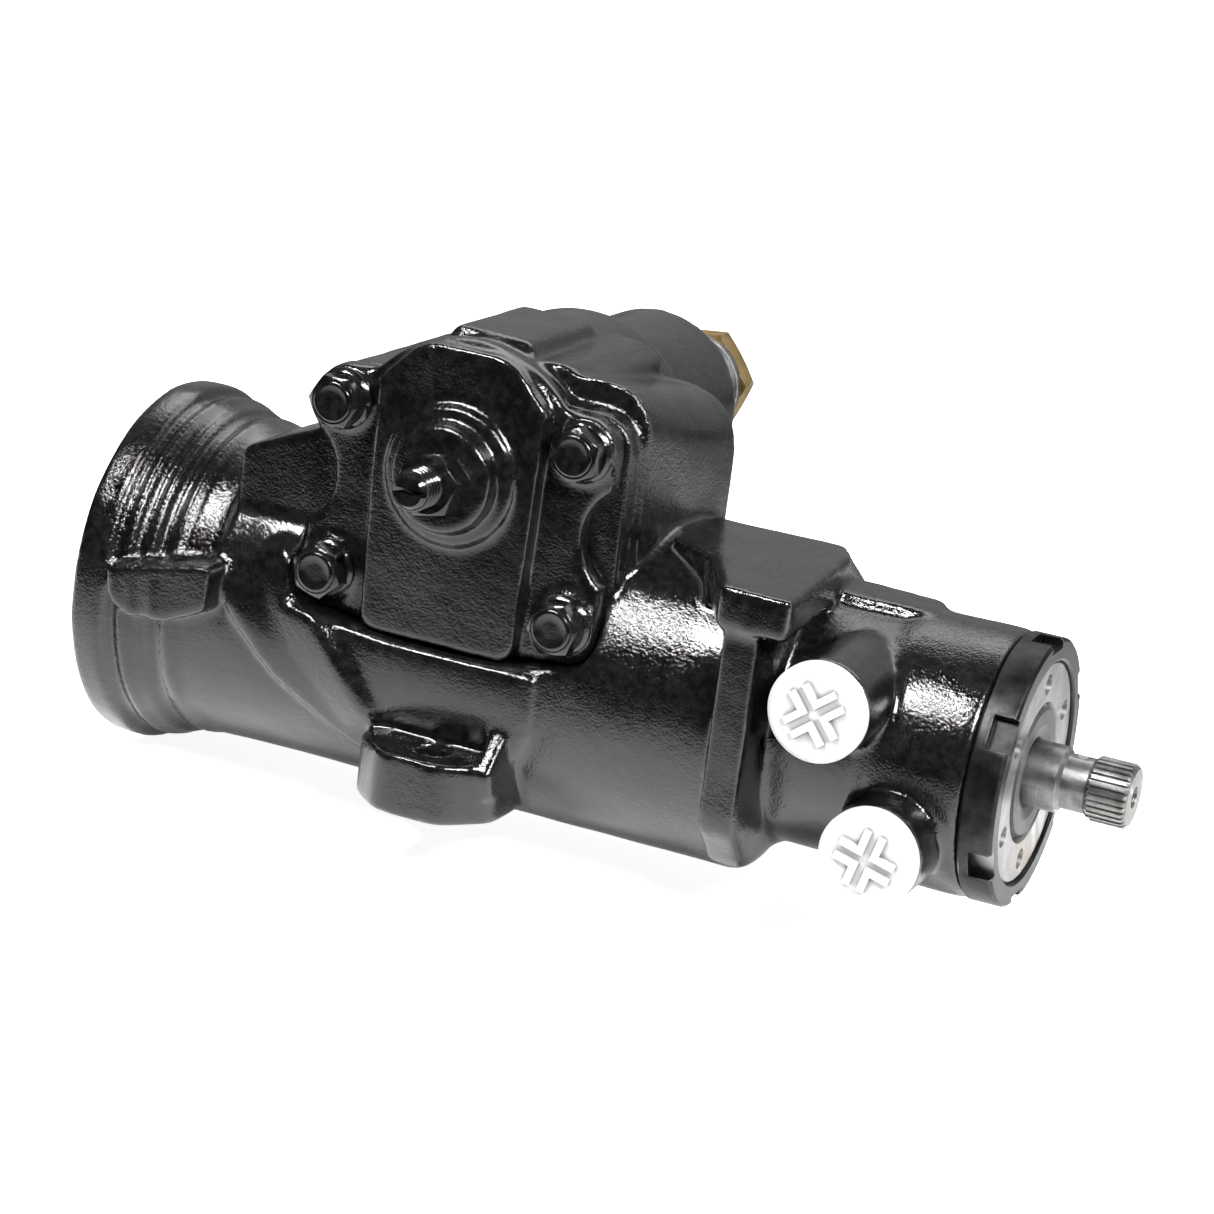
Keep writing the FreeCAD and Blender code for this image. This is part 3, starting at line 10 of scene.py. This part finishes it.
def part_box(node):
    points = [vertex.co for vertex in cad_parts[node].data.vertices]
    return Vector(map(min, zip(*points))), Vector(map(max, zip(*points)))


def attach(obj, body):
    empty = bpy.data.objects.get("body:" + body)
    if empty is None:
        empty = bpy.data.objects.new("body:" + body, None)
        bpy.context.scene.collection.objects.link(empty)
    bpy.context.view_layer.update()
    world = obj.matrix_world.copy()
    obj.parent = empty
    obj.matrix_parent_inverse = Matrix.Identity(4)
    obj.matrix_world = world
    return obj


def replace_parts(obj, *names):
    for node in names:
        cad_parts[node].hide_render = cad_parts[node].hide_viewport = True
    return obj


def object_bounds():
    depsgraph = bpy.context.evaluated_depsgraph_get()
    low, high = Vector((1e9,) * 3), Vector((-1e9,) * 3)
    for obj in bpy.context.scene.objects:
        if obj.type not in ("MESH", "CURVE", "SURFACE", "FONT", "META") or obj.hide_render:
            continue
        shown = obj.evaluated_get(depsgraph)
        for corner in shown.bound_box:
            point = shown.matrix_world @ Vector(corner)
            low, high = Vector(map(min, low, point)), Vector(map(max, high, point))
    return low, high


# Visual model of a recirculating-ball power steering gear. The worm's axis runs along X through the
# origin, which is on the input stub's end face. The sector shaft's axis runs along Y. Z is up, and
# units are metres.

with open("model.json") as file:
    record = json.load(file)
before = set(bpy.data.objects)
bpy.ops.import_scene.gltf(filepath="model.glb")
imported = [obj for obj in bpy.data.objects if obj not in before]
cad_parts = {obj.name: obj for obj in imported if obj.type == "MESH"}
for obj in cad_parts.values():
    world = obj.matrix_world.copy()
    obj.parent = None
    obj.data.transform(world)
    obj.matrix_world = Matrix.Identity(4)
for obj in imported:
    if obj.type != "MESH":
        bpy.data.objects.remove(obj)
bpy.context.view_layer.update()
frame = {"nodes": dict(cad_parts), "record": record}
NODES = frame["nodes"]

MM = 0.001
SECTOR_X = -200.1 * MM
SECTOR_Z = 60.4 * MM
RING_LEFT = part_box("housing")[0].x
WHITE = (1, 1, 1, 1)

# edges broken on the carried-over CAD nodes, in mm
BEVELS = {
    "side_cover_bolts": 0.55,
    "lash_adjuster_jam_nut": 0.5,
    "pitman_nut": 0.6,
    "adjuster_locknut": 0.4,
    "adjuster_plug": 0.3,
    "pressure_port_cap": 0.35,
    "return_port_cap": 0.35,
    "stub_shaft": 0.15,
    "pitman_lock_washer": 0.3,
    "housing_end_plug": 0.4,
}
BEVEL_ANGLE = math.radians(32)


# ---------------------------------------------------------------- node helpers

class Graph:
    """Thin wrapper that keeps material graphs short."""

    def __init__(self, tree):
        self.tree = tree

    def add(self, kind, inputs=None, **settings):
        node = self.tree.nodes.new(kind)
        for key, value in settings.items():
            setattr(node, key, value)
        for key, value in (inputs or {}).items():
            self.feed(node.inputs[key], value)
        return node

    def feed(self, socket, value):
        if hasattr(value, "is_linked"):
            self.tree.links.new(value, socket)
        else:
            socket.default_value = value

    def noise(self, scale, detail, roughness, vector=None):
        """Noise between 0 and 1; scale is in lumps per metre."""
        inputs = {"Scale": scale, "Detail": detail, "Roughness": roughness}
        if vector is not None:
            inputs["Vector"] = vector
        return self.add("ShaderNodeTexNoise", inputs).outputs["Fac"]

    def remap(self, value, low, high, to_low, to_high):
        inputs = {0: value, 1: low, 2: high, 3: to_low, 4: to_high}
        return self.add("ShaderNodeMapRange", inputs).outputs[0]

    def combine(self, operation, a, b):
        return self.add("ShaderNodeMath", {0: a, 1: b}, operation=operation).outputs[0]

    def sum(self, a, b):
        return self.combine("ADD", a, b)

    def times(self, a, b):
        return self.combine("MULTIPLY", a, b)

    def blend(self, factor, a, b):
        mix = self.add("ShaderNodeMix", data_type="RGBA")
        self.feed(mix.inputs[0], factor)
        self.feed(mix.inputs[6], a)
        self.feed(mix.inputs[7], b)
        return mix.outputs[2]

    def bump(self, height, strength, distance):
        inputs = {"Height": height, "Strength": strength, "Distance": distance}
        return self.add("ShaderNodeBump", inputs).outputs[0]

    def spot(self, stretch=None):
        """Object position, stretched per axis so that grain can run along one axis."""
        position = self.add("ShaderNodeTexCoord").outputs["Object"]
        if stretch is None:
            return position
        return self.add("ShaderNodeMapping", {"Vector": position, "Scale": stretch}).outputs[0]

    def edge_wear(self):
        """0 on flats, 1 on sharp convex edges."""
        pointiness = self.add("ShaderNodeNewGeometry").outputs["Pointiness"]
        return self.remap(pointiness, 0.52, 0.62, 0.0, 1.0)


def new_material(name):
    material = bpy.data.materials.new(name)
    material.use_nodes = True
    material.node_tree.nodes.clear()
    graph = Graph(material.node_tree)
    shader = graph.add("ShaderNodeBsdfPrincipled")
    graph.add("ShaderNodeOutputMaterial", {0: shader.outputs[0]})
    return material, graph, shader


# ---------------------------------------------------------------- materials

def paint(name, grain, gloss):
    """Thick black gloss over a casting; grain is the bump's strength."""
    material, graph, shader = new_material(name)
    spot = graph.spot()
    fine = graph.noise(1400.0, 2.0, 0.6, spot)
    coarse = graph.noise(400.0, 2.0, 0.6, spot)
    # some areas of the casting are rougher than others
    share = graph.remap(graph.noise(30.0, 1.0, 0.5, spot), 0.4, 0.62, 0.4, 1.1)
    fine_share, lump_height = 0.95, 0.4 * MM
    height = graph.times(graph.sum(graph.times(fine, fine_share), coarse), share)
    deep, dusty = (0.003, 0.003, 0.0033, 1), (0.009, 0.009, 0.0095, 1)
    tint = graph.blend(graph.remap(coarse, 0.4, 0.7, 0.0, 1.0), deep, dusty)
    graph.feed(shader.inputs["Base Color"], tint)
    graph.feed(shader.inputs["Roughness"], graph.remap(fine, 0.3, 0.7, gloss, gloss + 0.09))
    graph.feed(shader.inputs["Normal"], graph.bump(height, grain, lump_height))
    shader.inputs["IOR"].default_value = 1.6
    return material


def metal(name, dark, light, rough, brushed=None, grain=0.15, scale=900.0, stain=None):
    """Bare or plated metal with tool marks along one axis, blotches and brighter edges."""
    material, graph, shader = new_material(name)
    spot = graph.spot()
    lines = graph.noise(scale, 3.0, 0.6, graph.spot(brushed))
    blotch = graph.noise(130.0, 5.0, 0.6, spot)
    colour = graph.blend(graph.remap(blotch, 0.35, 0.68, 0.0, 1.0), dark, light)
    worn, wear_share = (0.75, 0.75, 0.74, 1), 0.35
    colour = graph.blend(graph.times(graph.edge_wear(), wear_share), colour, worn)
    if stain:
        mask = graph.remap(graph.noise(60.0, 4.0, 0.6, spot), 0.56, 0.7, 0.0, 0.7)
        colour = graph.blend(mask, colour, stain)
    graph.feed(shader.inputs["Base Color"], colour)
    shader.inputs["Metallic"].default_value = 1.0
    line_share, blotch_share, line_depth = 0.16, 0.14, 0.12 * MM
    spread = graph.sum(graph.times(lines, line_share), graph.times(blotch, blotch_share))
    graph.feed(shader.inputs["Roughness"], graph.sum(spread, rough))
    graph.feed(shader.inputs["Normal"], graph.bump(lines, grain, line_depth))
    return material


def soft(name, dark, light, rough, scale, height, sheen=0.0):
    """Rubber or moulded plastic with a fine moulded grain."""
    material, graph, shader = new_material(name)
    spot = graph.spot()
    grain = graph.noise(scale, 4.0, 0.6, spot)
    cloud = graph.remap(graph.noise(70.0, 3.0, 0.5, spot), 0.35, 0.7, 0.0, 1.0)
    grain_depth = 0.1 * MM
    graph.feed(shader.inputs["Base Color"], graph.blend(cloud, dark, light))
    graph.feed(shader.inputs["Roughness"], graph.remap(grain, 0.3, 0.7, rough, rough + 0.12))
    graph.feed(shader.inputs["Normal"], graph.bump(grain, height, grain_depth))
    shader.inputs["Sheen Weight"].default_value = sheen
    return material


def white_plastic(name):
    """Bright moulded plastic with painted shade, greyer in its corners and creases, and a painted glow
    from its own emission.
    """
    material, graph, shader = new_material(name)
    crease_shade_reach, grain_depth = 1.8 * MM, 0.1 * MM
    # painted shade: ambient occlusion finds the creases and corners, and the blend below darkens the
    # plastic's colour there
    corner = graph.add("ShaderNodeAmbientOcclusion", {"Distance": crease_shade_reach}, samples=6)
    outside_painted_shade = graph.remap(corner.outputs["AO"], 0.45, 0.95, 0.0, 1.0)
    colour = graph.blend(outside_painted_shade, (0.13, 0.13, 0.135, 1), (0.45, 0.45, 0.448, 1))
    graph.feed(shader.inputs["Base Color"], colour)
    # painted glow: the plastic emits its own colour, painted shade included, at half strength, standing
    # in for light falling on it
    graph.feed(shader.inputs["Emission Color"], colour)
    shader.inputs["Emission Strength"].default_value = 0.5
    grain = graph.noise(600.0, 3.0, 0.6, graph.spot())
    graph.feed(shader.inputs["Roughness"], graph.remap(grain, 0.3, 0.7, 0.36, 0.5))
    graph.feed(shader.inputs["Normal"], graph.bump(grain, 0.1, grain_depth))
    return material


MATERIALS = {
    "black_paint": paint("black_paint", grain=0.45, gloss=0.09),
    "black_fastener": paint("black_fastener", grain=0.16, gloss=0.09),
    "dark_phosphate": metal("dark_phosphate",
                            dark=(0.016, 0.016, 0.017, 1), light=(0.04, 0.04, 0.041, 1),
                            rough=0.24, grain=0.25, scale=700.0),
    "machined_iron": metal("machined_iron", dark=(0.2, 0.2, 0.2, 1), light=(0.34, 0.34, 0.335, 1),
                           rough=0.3, brushed=(0.3, 1.0, 1.0), grain=0.12, stain=(0.3, 0.26, 0.2, 1)),
    "zinc_steel": metal("zinc_steel", dark=(0.13, 0.13, 0.13, 1), light=(0.3, 0.298, 0.29, 1),
                        rough=0.26, brushed=(1.9, 0.06, 0.06), grain=0.8, scale=1400.0,
                        stain=(0.16, 0.13, 0.1, 1)),
    "gold_zinc": metal("gold_zinc", dark=(0.2, 0.13, 0.04, 1), light=(0.4, 0.28, 0.11, 1),
                       rough=0.34, grain=0.14, stain=(0.24, 0.25, 0.08, 1)),
    "ground_steel": metal("ground_steel", dark=(0.5, 0.5, 0.52, 1), light=(0.68, 0.68, 0.7, 1),
                          rough=0.16, brushed=(1.0, 0.1, 0.1), grain=0.1),
    "bearing_steel": metal("bearing_steel", dark=(0.62, 0.62, 0.64, 1), light=(0.75, 0.75, 0.77, 1),
                           rough=0.08, grain=0.04),
    "plain_steel": metal("plain_steel", dark=(0.36, 0.36, 0.37, 1), light=(0.52, 0.52, 0.54, 1),
                         rough=0.28, grain=0.16),
    "spring_steel": metal("spring_steel", dark=(0.2, 0.2, 0.21, 1), light=(0.36, 0.36, 0.38, 1),
                          rough=0.25, grain=0.1),
    "brass": metal("brass", dark=(0.6, 0.42, 0.16, 1), light=(0.8, 0.62, 0.3, 1),
                   rough=0.22, brushed=(1.0, 0.1, 1.0)),
    "seal_rubber": soft("seal_rubber", dark=(0.012, 0.012, 0.012, 1), light=(0.03, 0.03, 0.03, 1),
                        rough=0.5, scale=1500.0, height=0.3, sheen=0.1),
    "ring_plastic": soft("ring_plastic", dark=(0.14, 0.12, 0.1, 1), light=(0.22, 0.2, 0.16, 1),
                         rough=0.35, scale=1200.0, height=0.15),
    "white_plastic": white_plastic("white_plastic"),
}


# ---------------------------------------------------------------- mesh helpers

def give(obj, slot):
    obj.data.materials.clear()
    obj.data.materials.append(MATERIALS[slot])


def piece(name, mesh, slot, body):
    """Smooth-shaded object that takes its finish from a slot and rides a body."""
    mesh.polygons.foreach_set("use_smooth", np.ones(len(mesh.polygons), bool))
    obj = bpy.data.objects.new(name, mesh)
    bpy.context.scene.collection.objects.link(obj)
    give(obj, slot)
    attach(obj, body)
    return obj


def coordinates(mesh):
    co = np.empty(len(mesh.vertices) * 3)
    mesh.vertices.foreach_get("co", co)
    return co.reshape(-1, 3)


def write_back(mesh, co):
    mesh.vertices.foreach_set("co", co.ravel())
    mesh.update()


def remeshed(node, voxel):
    """Closed, even mesh of a CAD node."""
    work = bmesh.new()
    work.from_mesh(NODES[node].data)
    bmesh.ops.remove_doubles(work, verts=work.verts, dist=1e-6)
    mesh = bpy.data.meshes.new("remesh_source")
    work.to_mesh(mesh)
    work.free()
    holder = bpy.data.objects.new("remesh_holder", mesh)
    bpy.context.scene.collection.objects.link(holder)
    modifier = holder.modifiers.new("voxels", "REMESH")
    modifier.mode = "VOXEL"
    modifier.voxel_size = voxel
    modifier.adaptivity = 0.0
    graph = bpy.context.evaluated_depsgraph_get()
    result = bpy.data.meshes.new_from_object(holder.evaluated_get(graph))
    bpy.data.objects.remove(holder)
    bpy.data.meshes.remove(mesh)
    return result


def relax(mesh, rounds, hold):
    """Even out the surface so that cast edges get a radius. hold is 1 where it stays put."""
    co = coordinates(mesh)
    edges = np.empty(len(mesh.edges) * 2, int)
    mesh.edges.foreach_get("vertices", edges)
    edges = edges.reshape(-1, 2)
    count = len(co)
    valence = np.bincount(edges.ravel(), minlength=count).clip(1)
    free = (0.5 * (1 - hold))[:, None]
    for _ in range(rounds):
        mean = np.empty_like(co)
        for axis in range(3):
            mean[:, axis] = (np.bincount(edges[:, 0], co[edges[:, 1], axis], count)
                             + np.bincount(edges[:, 1], co[edges[:, 0], axis], count))
        mean /= valence[:, None]
        co = co + (mean - co) * free
    write_back(mesh, co)
    return co


def ramp(value, low, high):
    return np.clip((value - low) / (high - low), 0.0, 1.0)


def band(value, low, full, still_full, high):
    """Rises from low to full, and falls from still_full to high."""
    return ramp(value, low, full) * (1 - ramp(value, still_full, high))


def bell(value, centre, width):
    return np.exp(-((value - centre) / width) ** 2)


def cast_waves(co, size, height):
    """Slow unevenness of a sand casting, metres along the normal."""
    return np.array([noise.noise(Vector(p) / size) for p in co]) * height


def push(mesh, amount):
    normals = np.empty(len(mesh.vertices) * 3)
    mesh.vertex_normals.foreach_get("vector", normals)
    co = coordinates(mesh) + normals.reshape(-1, 3) * amount[:, None]
    write_back(mesh, co)


def loop(count):
    """Evenly spaced angles, each with its cosine and sine."""
    angles = [2 * math.pi * k / count for k in range(count)]
    return [(angle, math.cos(angle), math.sin(angle)) for angle in angles]


def lofted(name, rows, slot, body):
    """Piece made of closed loops of points, joined in order and capped at both ends."""
    shape = bmesh.new()
    loops = [[shape.verts.new(point) for point in row] for row in rows]
    count = len(rows[0])
    for near, far in zip(loops, loops[1:]):
        for k in range(count):
            shape.faces.new((near[k], near[(k + 1) % count], far[(k + 1) % count], far[k]))
    shape.faces.new(loops[0][::-1])
    shape.faces.new(loops[-1])
    bmesh.ops.recalc_face_normals(shape, faces=shape.faces)
    mesh = bpy.data.meshes.new(name)
    shape.to_mesh(mesh)
    shape.free()
    return piece(name, mesh, slot, body)


# ---------------------------------------------------------------- castings

def around_worm(co):
    """Angle about the worm axis, 0 at the front and up positive, and distance from the axis."""
    return np.arctan2(co[:, 2], -co[:, 1]), np.hypot(co[:, 1], co[:, 2])


def saddle_crest(co):
    """How far the saddle's flank stands out, rising to a crest that slants down to the lug."""
    barrel, crest_height = 52 * MM, 3.2 * MM
    angle, radius = around_worm(co)
    # the crest runs from behind the lower left bolt to the lug, drawn on the unrolled barrel
    start = np.array((SECTOR_X - 53 * MM, math.radians(31) * barrel))
    end = np.array((SECTOR_X - 16 * MM, math.radians(-18.5) * barrel))
    length = np.linalg.norm(end - start)
    along_x, along_s = (end - start) / length
    x, turn = co[:, 0] - start[0], angle * barrel - start[1]
    across = -x * along_s + turn * along_x
    along = x * along_x + turn * along_s
    rise = band(across, -13 * MM, 0.0, 0.3 * MM, 3.2 * MM)
    ends = band(along, -5 * MM, 3 * MM, length - 2 * MM, length + 4 * MM)
    on_barrel = band(radius, 44 * MM, 47 * MM, 57 * MM, 60 * MM) * (co[:, 1] < 0)
    return crest_height * rise * ends * on_barrel


def machined(co, radius):
    """1 on the bores and on the rim under the locknut, which keep their machined size."""
    end_bore, end_bore_depth, bore = 43.5 * MM, 20 * MM, 36 * MM
    shaft_bore, shaft_bore_start = 23.5 * MM, 20 * MM
    rim_width = 1.6 * MM
    bored = ((radius < end_bore) & (co[:, 0] < RING_LEFT + end_bore_depth)) | (radius < bore)
    from_shaft = np.hypot(co[:, 0] - SECTOR_X, co[:, 2] - SECTOR_Z)
    bored |= (from_shaft < shaft_bore) & (co[:, 1] > shaft_bore_start)
    rim = np.abs(co[:, 0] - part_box("adjuster_locknut")[0].x) < rim_width
    return np.where(bored | rim, 1.0, 0.0)


def end_ring_relief(co, radius):
    """Two grooves around the end ring, and four ridges on its upper front. radius is unsmoothed."""
    angle, _ = around_worm(co)
    from_left = co[:, 0] - RING_LEFT
    upper_front = bell(angle, math.radians(38), math.radians(36))
    ridges = np.zeros(len(co))
    for offset, height in ((10.5, 1.1), (16.2, 1.8), (22.6, 2.0), (30.0, 1.7)):
        ridges += height * MM * bell(from_left, offset * MM, 1.6 * MM)
    groove_depth = 1.3 * MM
    grooves = groove_depth * (bell(from_left, 13 * MM, 2.2 * MM) + bell(from_left, 25 * MM, 2.6 * MM))
    # the boss on the ring stands clear of both
    on_ring = band(radius, 47 * MM, 49 * MM, 58 * MM, 60 * MM)
    return on_ring * (ridges * upper_front - grooves * (1 - upper_front))


def build_housing():
    mesh = remeshed("housing", (1.0) * MM)
    co = coordinates(mesh)
    co[:, 1:] *= (1 + saddle_crest(co) / around_worm(co)[1])[:, None]
    write_back(mesh, co)
    _, radius = around_worm(co)
    hold = machined(co, radius)
    co = relax(mesh, 10, hold)
    cast = hold < 0.5
    push(mesh, cast * (end_ring_relief(co, radius) + cast_waves(co, 14 * MM, 0.22 * MM)))
    obj = piece("housing_casting", mesh, "black_paint", "housing")
    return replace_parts(obj, "housing")


def build_side_cover():
    mesh = remeshed("side_cover", (0.7) * MM)
    co = coordinates(mesh)
    seat_band = 2.6 * MM
    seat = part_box("side_cover_seal")[1].y
    hold = np.where(co[:, 1] > seat - seat_band, 1.0, 0.0)
    co = relax(mesh, 20, hold)
    push(mesh, np.where(hold < 0.5, cast_waves(co, 11 * MM, 0.2 * MM), 0.0))
    obj = piece("side_cover_casting", mesh, "black_paint", "housing")
    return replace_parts(obj, "side_cover")


# ---------------------------------------------------------------- added detail

def thread_rows(radius, depth, pitch, low, high):
    """Loops about the sector axis that follow a rounded helical thread, faded out at both ends."""
    sides, steps_per_pitch = 72, 14
    rows = []
    count = int(steps_per_pitch * (high - low) / pitch)
    for i in range(count + 1):
        y = low + (high - low) * i / count
        fade = min(1.0, (y - low) / (0.6 * pitch), (high - y) / (0.9 * pitch))
        row = []
        for angle, cosine, sine in loop(sides):
            wave = 0.5 + 0.5 * math.cos(2 * math.pi * (y / pitch) - angle)
            reach = radius - depth + depth * wave ** 0.8 * fade
            row.append((SECTOR_X + reach * cosine, y, SECTOR_Z + reach * sine))
        rows.append(row)
    return rows


def build_lash_thread():
    """Painted-over thread on the part of the lash screw that stands out of its jam nut."""
    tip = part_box("lash_adjuster_screw")[0].y + 1.2 * MM
    nut_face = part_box("lash_adjuster_jam_nut")[0].y + 0.3 * MM
    rows = thread_rows(radius=6.2 * MM, depth=0.8 * MM, pitch=1.75 * MM, low=tip, high=nut_face)
    lofted("lash_screw_thread", rows, "black_fastener", "housing")


def build_pitman_thread():
    """Thread on the end of the sector shaft, from its nut outwards."""
    nut_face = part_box("pitman_nut")[1].y - 0.3 * MM
    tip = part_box("sector_shaft")[1].y - 1.6 * MM
    rows = thread_rows(radius=11.5 * MM, depth=0.6 * MM, pitch=1.8 * MM, low=nut_face, high=tip)
    lofted("pitman_thread", rows, "ground_steel", "sector")


def build_bolt_dishes():
    """Raised rim and shallow dish on the head of each cover bolt."""
    low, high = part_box("side_cover_bolts")
    half_span = 38.3 * MM
    flange = (high.x - low.x) / 2 - half_span
    # radius and height over the head, in mm, from the rim's foot to the middle
    profile = ((6.3, 0.4), (5.9, -0.25), (5.3, -0.42), (4.7, -0.36),
               (4.2, -0.12), (2.4, -0.06), (0.5, -0.1))
    sides = 64
    for column, x in (("left", SECTOR_X - half_span), ("right", SECTOR_X + half_span)):
        for row, z in (("lower", low.z + flange), ("upper", high.z - flange)):
            rows = [[(x + radius * MM * cosine, low.y + depth * MM, z + radius * MM * sine)
                     for _, cosine, sine in loop(sides)] for radius, depth in profile]
            lofted(f"bolt_dish_{row}_{column}", rows, "black_fastener", "housing")


def drop(name, place, direction, radius, length):
    """A frozen paint drop or casting pip: an egg stretched along a direction."""
    turn = Vector(direction).normalized().to_track_quat("Z", "Y").to_matrix()
    rings, sides = 14, 24
    blunt, sunk_share = 1.35, 0.35
    rows = []
    for i in range(1, rings):
        t = i / rings
        reach = radius * math.sin(math.pi * t ** blunt)
        rows.append([place + turn @ Vector((reach * cosine, reach * sine, length * (t - sunk_share)))
                     for _, cosine, sine in loop(sides)])
    lofted(name, rows, "black_paint", "housing")


def build_casting_pips(casting, cover):
    """Small flaws of the casting: pips on the tower, by the upper left bolt and on the end ring."""
    bolts_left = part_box("side_cover_bolts")[0].x
    cover_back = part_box("side_cover")[1].y
    down, backwards, away = Vector((0, 0, -1)), Vector((0, 1, 0)), 0.2
    tower = Vector((SECTOR_X + 26 * MM, 24 * MM, away))
    boss = Vector((SECTOR_X + 17 * MM, 44 * MM, away))
    bolt = Vector((bolts_left + 12 * MM, cover_back - 5 * MM, away))
    ring = Vector((RING_LEFT + 7 * MM, -away, 34 * MM))
    # name, what it sits on, where the search starts and its way, the pip's direction, radius and length
    spots = (
        ("casting_pip_tower", casting, tower, down, (0.2, 1, 0.3), 2.0, 7.0),
        ("casting_pip_boss", casting, boss, down, (0.1, 1, 0.1), 1.6, 6.0),
        ("casting_spike_bolt", cover, bolt, down, (0.4, -0.2, 1), 1.5, 8.0),
        ("casting_pip_ring", casting, ring, backwards, (0.2, -1, 0.3), 1.7, 5.0),
    )
    for name, target, start, way, along, radius, length in spots:
        hit, place, _, _ = target.ray_cast(start, way)
        if hit:
            drop(name, place, along, radius * MM, length * MM)


def dress_cad_nodes():
    """Give each CAD node its material, and break its edges so that they catch light."""
    slots = {part["node"]: part["material_slot"] for part in frame["record"]["subparts"]}
    for name, obj in NODES.items():
        give(obj, slots[name])
        weld = obj.modifiers.new("weld", "WELD")
        weld.merge_threshold = 2e-6
        if name in BEVELS:
            bevel = obj.modifiers.new("bevel", "BEVEL")
            bevel.width = BEVELS[name] * MM
            bevel.segments = 3
            bevel.limit_method = "ANGLE"
            bevel.angle_limit = BEVEL_ANGLE
            bevel.harden_normals = True


# ---------------------------------------------------------------- stage, light and camera

def build_stage():
    """Pale floor below the part. In the gloss it is a light table, dark in front and dim far behind."""
    floor_size, clearance = 12.0, 1 * MM
    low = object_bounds()[0].z
    bpy.ops.mesh.primitive_plane_add(size=floor_size, location=(SECTOR_X, 0.0, low - clearance))
    floor = bpy.context.object
    floor.name = "floor"
    material, graph, shader = new_material("pale_floor")
    grain = graph.noise(30.0, 2.0, 0.5)
    tint = graph.blend(grain, (0.93, 0.93, 0.93, 1), (0.95, 0.95, 0.95, 1))
    graph.feed(shader.inputs["Base Color"], tint)
    shader.inputs["Roughness"].default_value = 0.9
    shader.inputs["Specular IOR Level"].default_value = 0.0
    seen = graph.add("ShaderNodeLightPath").outputs["Is Camera Ray"]
    depth = graph.add("ShaderNodeSeparateXYZ", {0: graph.spot()}).outputs["Y"]
    near = graph.remap(depth, -0.34, -0.06, 0.0, 1.0)
    table = graph.times(near, graph.remap(depth, 0.12, 0.45, 1.0, 0.2))
    seen_glow, mirrored_glow = 0.9, 0.22
    mirrored = graph.times(graph.combine("SUBTRACT", 1.0, seen), graph.times(table, mirrored_glow))
    shader.inputs["Emission Color"].default_value = WHITE
    graph.feed(shader.inputs["Emission Strength"], graph.sum(graph.times(seen, seen_glow), mirrored))
    dark = graph.add("ShaderNodeEmission", {"Strength": 0.0})
    lit = graph.combine("MAXIMUM", seen, table)
    mix = graph.add("ShaderNodeMixShader", {0: lit, 1: dark.outputs[0], 2: shader.outputs[0]})
    output = next(node for node in material.node_tree.nodes if node.type == "OUTPUT_MATERIAL")
    graph.feed(output.inputs[0], mix.outputs[0])
    floor.data.materials.append(material)


def area_light(name, spot, width, height, power):
    """Rectangular light aimed at the middle of the part."""
    middle = Vector((SECTOR_X, 0.0, 20 * MM))
    data = bpy.data.lights.new(name, "AREA")
    data.shape = "RECTANGLE"
    data.size, data.size_y = width, height
    data.energy = power
    obj = bpy.data.objects.new(name, data)
    bpy.context.scene.collection.objects.link(obj)
    obj.location = spot
    obj.rotation_euler = (middle - Vector(spot)).to_track_quat("-Z", "Y").to_euler()


def build_lights():
    area_light("overhead", (-0.2, 0.9, 1.3), width=2.0, height=0.7, power=12.0)
    area_light("front_strip", (-0.7, -0.9, 1.35), width=0.8, height=0.13, power=42.0)
    area_light("right_strip", (0.8, -0.7, 0.95), width=0.8, height=0.17, power=42.0)
    area_light("back_right", (1.3, 0.6, 0.35), width=0.5, height=0.9, power=3.0)


def build_world():
    """White to the camera; for reflections it is dark in front and lighter behind and above."""
    world = bpy.data.worlds.new("studio")
    world.use_nodes = True
    world.node_tree.nodes.clear()
    graph = Graph(world.node_tree)
    seen = graph.add("ShaderNodeLightPath").outputs["Is Camera Ray"]
    generated = graph.add("ShaderNodeTexCoord").outputs["Generated"]
    direction = graph.add("ShaderNodeSeparateXYZ", {0: generated}).outputs
    back = graph.remap(direction["Y"], -0.05, 0.9, 0.01, 0.65)
    high = graph.remap(direction["Z"], -0.1, 0.8, 0.4, 1.0)
    dim = graph.add("ShaderNodeBackground", {"Color": WHITE, "Strength": graph.times(back, high)})
    bright = graph.add("ShaderNodeBackground", {"Color": WHITE, "Strength": 1.0})
    mix = graph.add("ShaderNodeMixShader", {0: seen, 1: dim.outputs[0], 2: bright.outputs[0]})
    graph.add("ShaderNodeOutputWorld", {0: mix.outputs[0]})
    bpy.context.scene.world = world
    bpy.context.scene.view_settings.view_transform = "Standard"


def build_camera():
    """A metre away, to the front right and a little above, rolled so that the worm slopes."""
    azimuth, elevation, roll = 0.382308, 0.280255, 0.128299
    lens_mm, sensor_mm = 98.401, 36.0
    # offset from the sector shaft's place on the worm axis, along the picture's right, up and back
    shift_right, shift_up, distance = 0.0321955, 0.0097152, 1.0111966
    right = Vector((math.cos(azimuth), math.sin(azimuth), 0))
    back = Vector((math.sin(azimuth) * math.cos(elevation),
                   -math.cos(azimuth) * math.cos(elevation),
                   math.sin(elevation)))
    up = back.cross(right)
    across = right * math.cos(roll) + up * math.sin(roll)
    upward = up * math.cos(roll) - right * math.sin(roll)
    data = bpy.data.cameras.new("camera")
    data.lens = lens_mm
    data.sensor_width = sensor_mm
    obj = bpy.data.objects.new("camera", data)
    bpy.context.scene.collection.objects.link(obj)
    spot = across * shift_right + upward * shift_up + back * distance
    spot.x += SECTOR_X
    turn = Matrix((across, upward, back)).transposed().to_4x4()
    obj.matrix_world = Matrix.Translation(spot) @ turn
    bpy.context.scene.camera = obj


dress_cad_nodes()
housing = build_housing()
side_cover = build_side_cover()
build_lash_thread()
build_pitman_thread()
build_bolt_dishes()
build_casting_pips(housing, side_cover)
build_stage()
build_lights()
build_world()
build_camera()
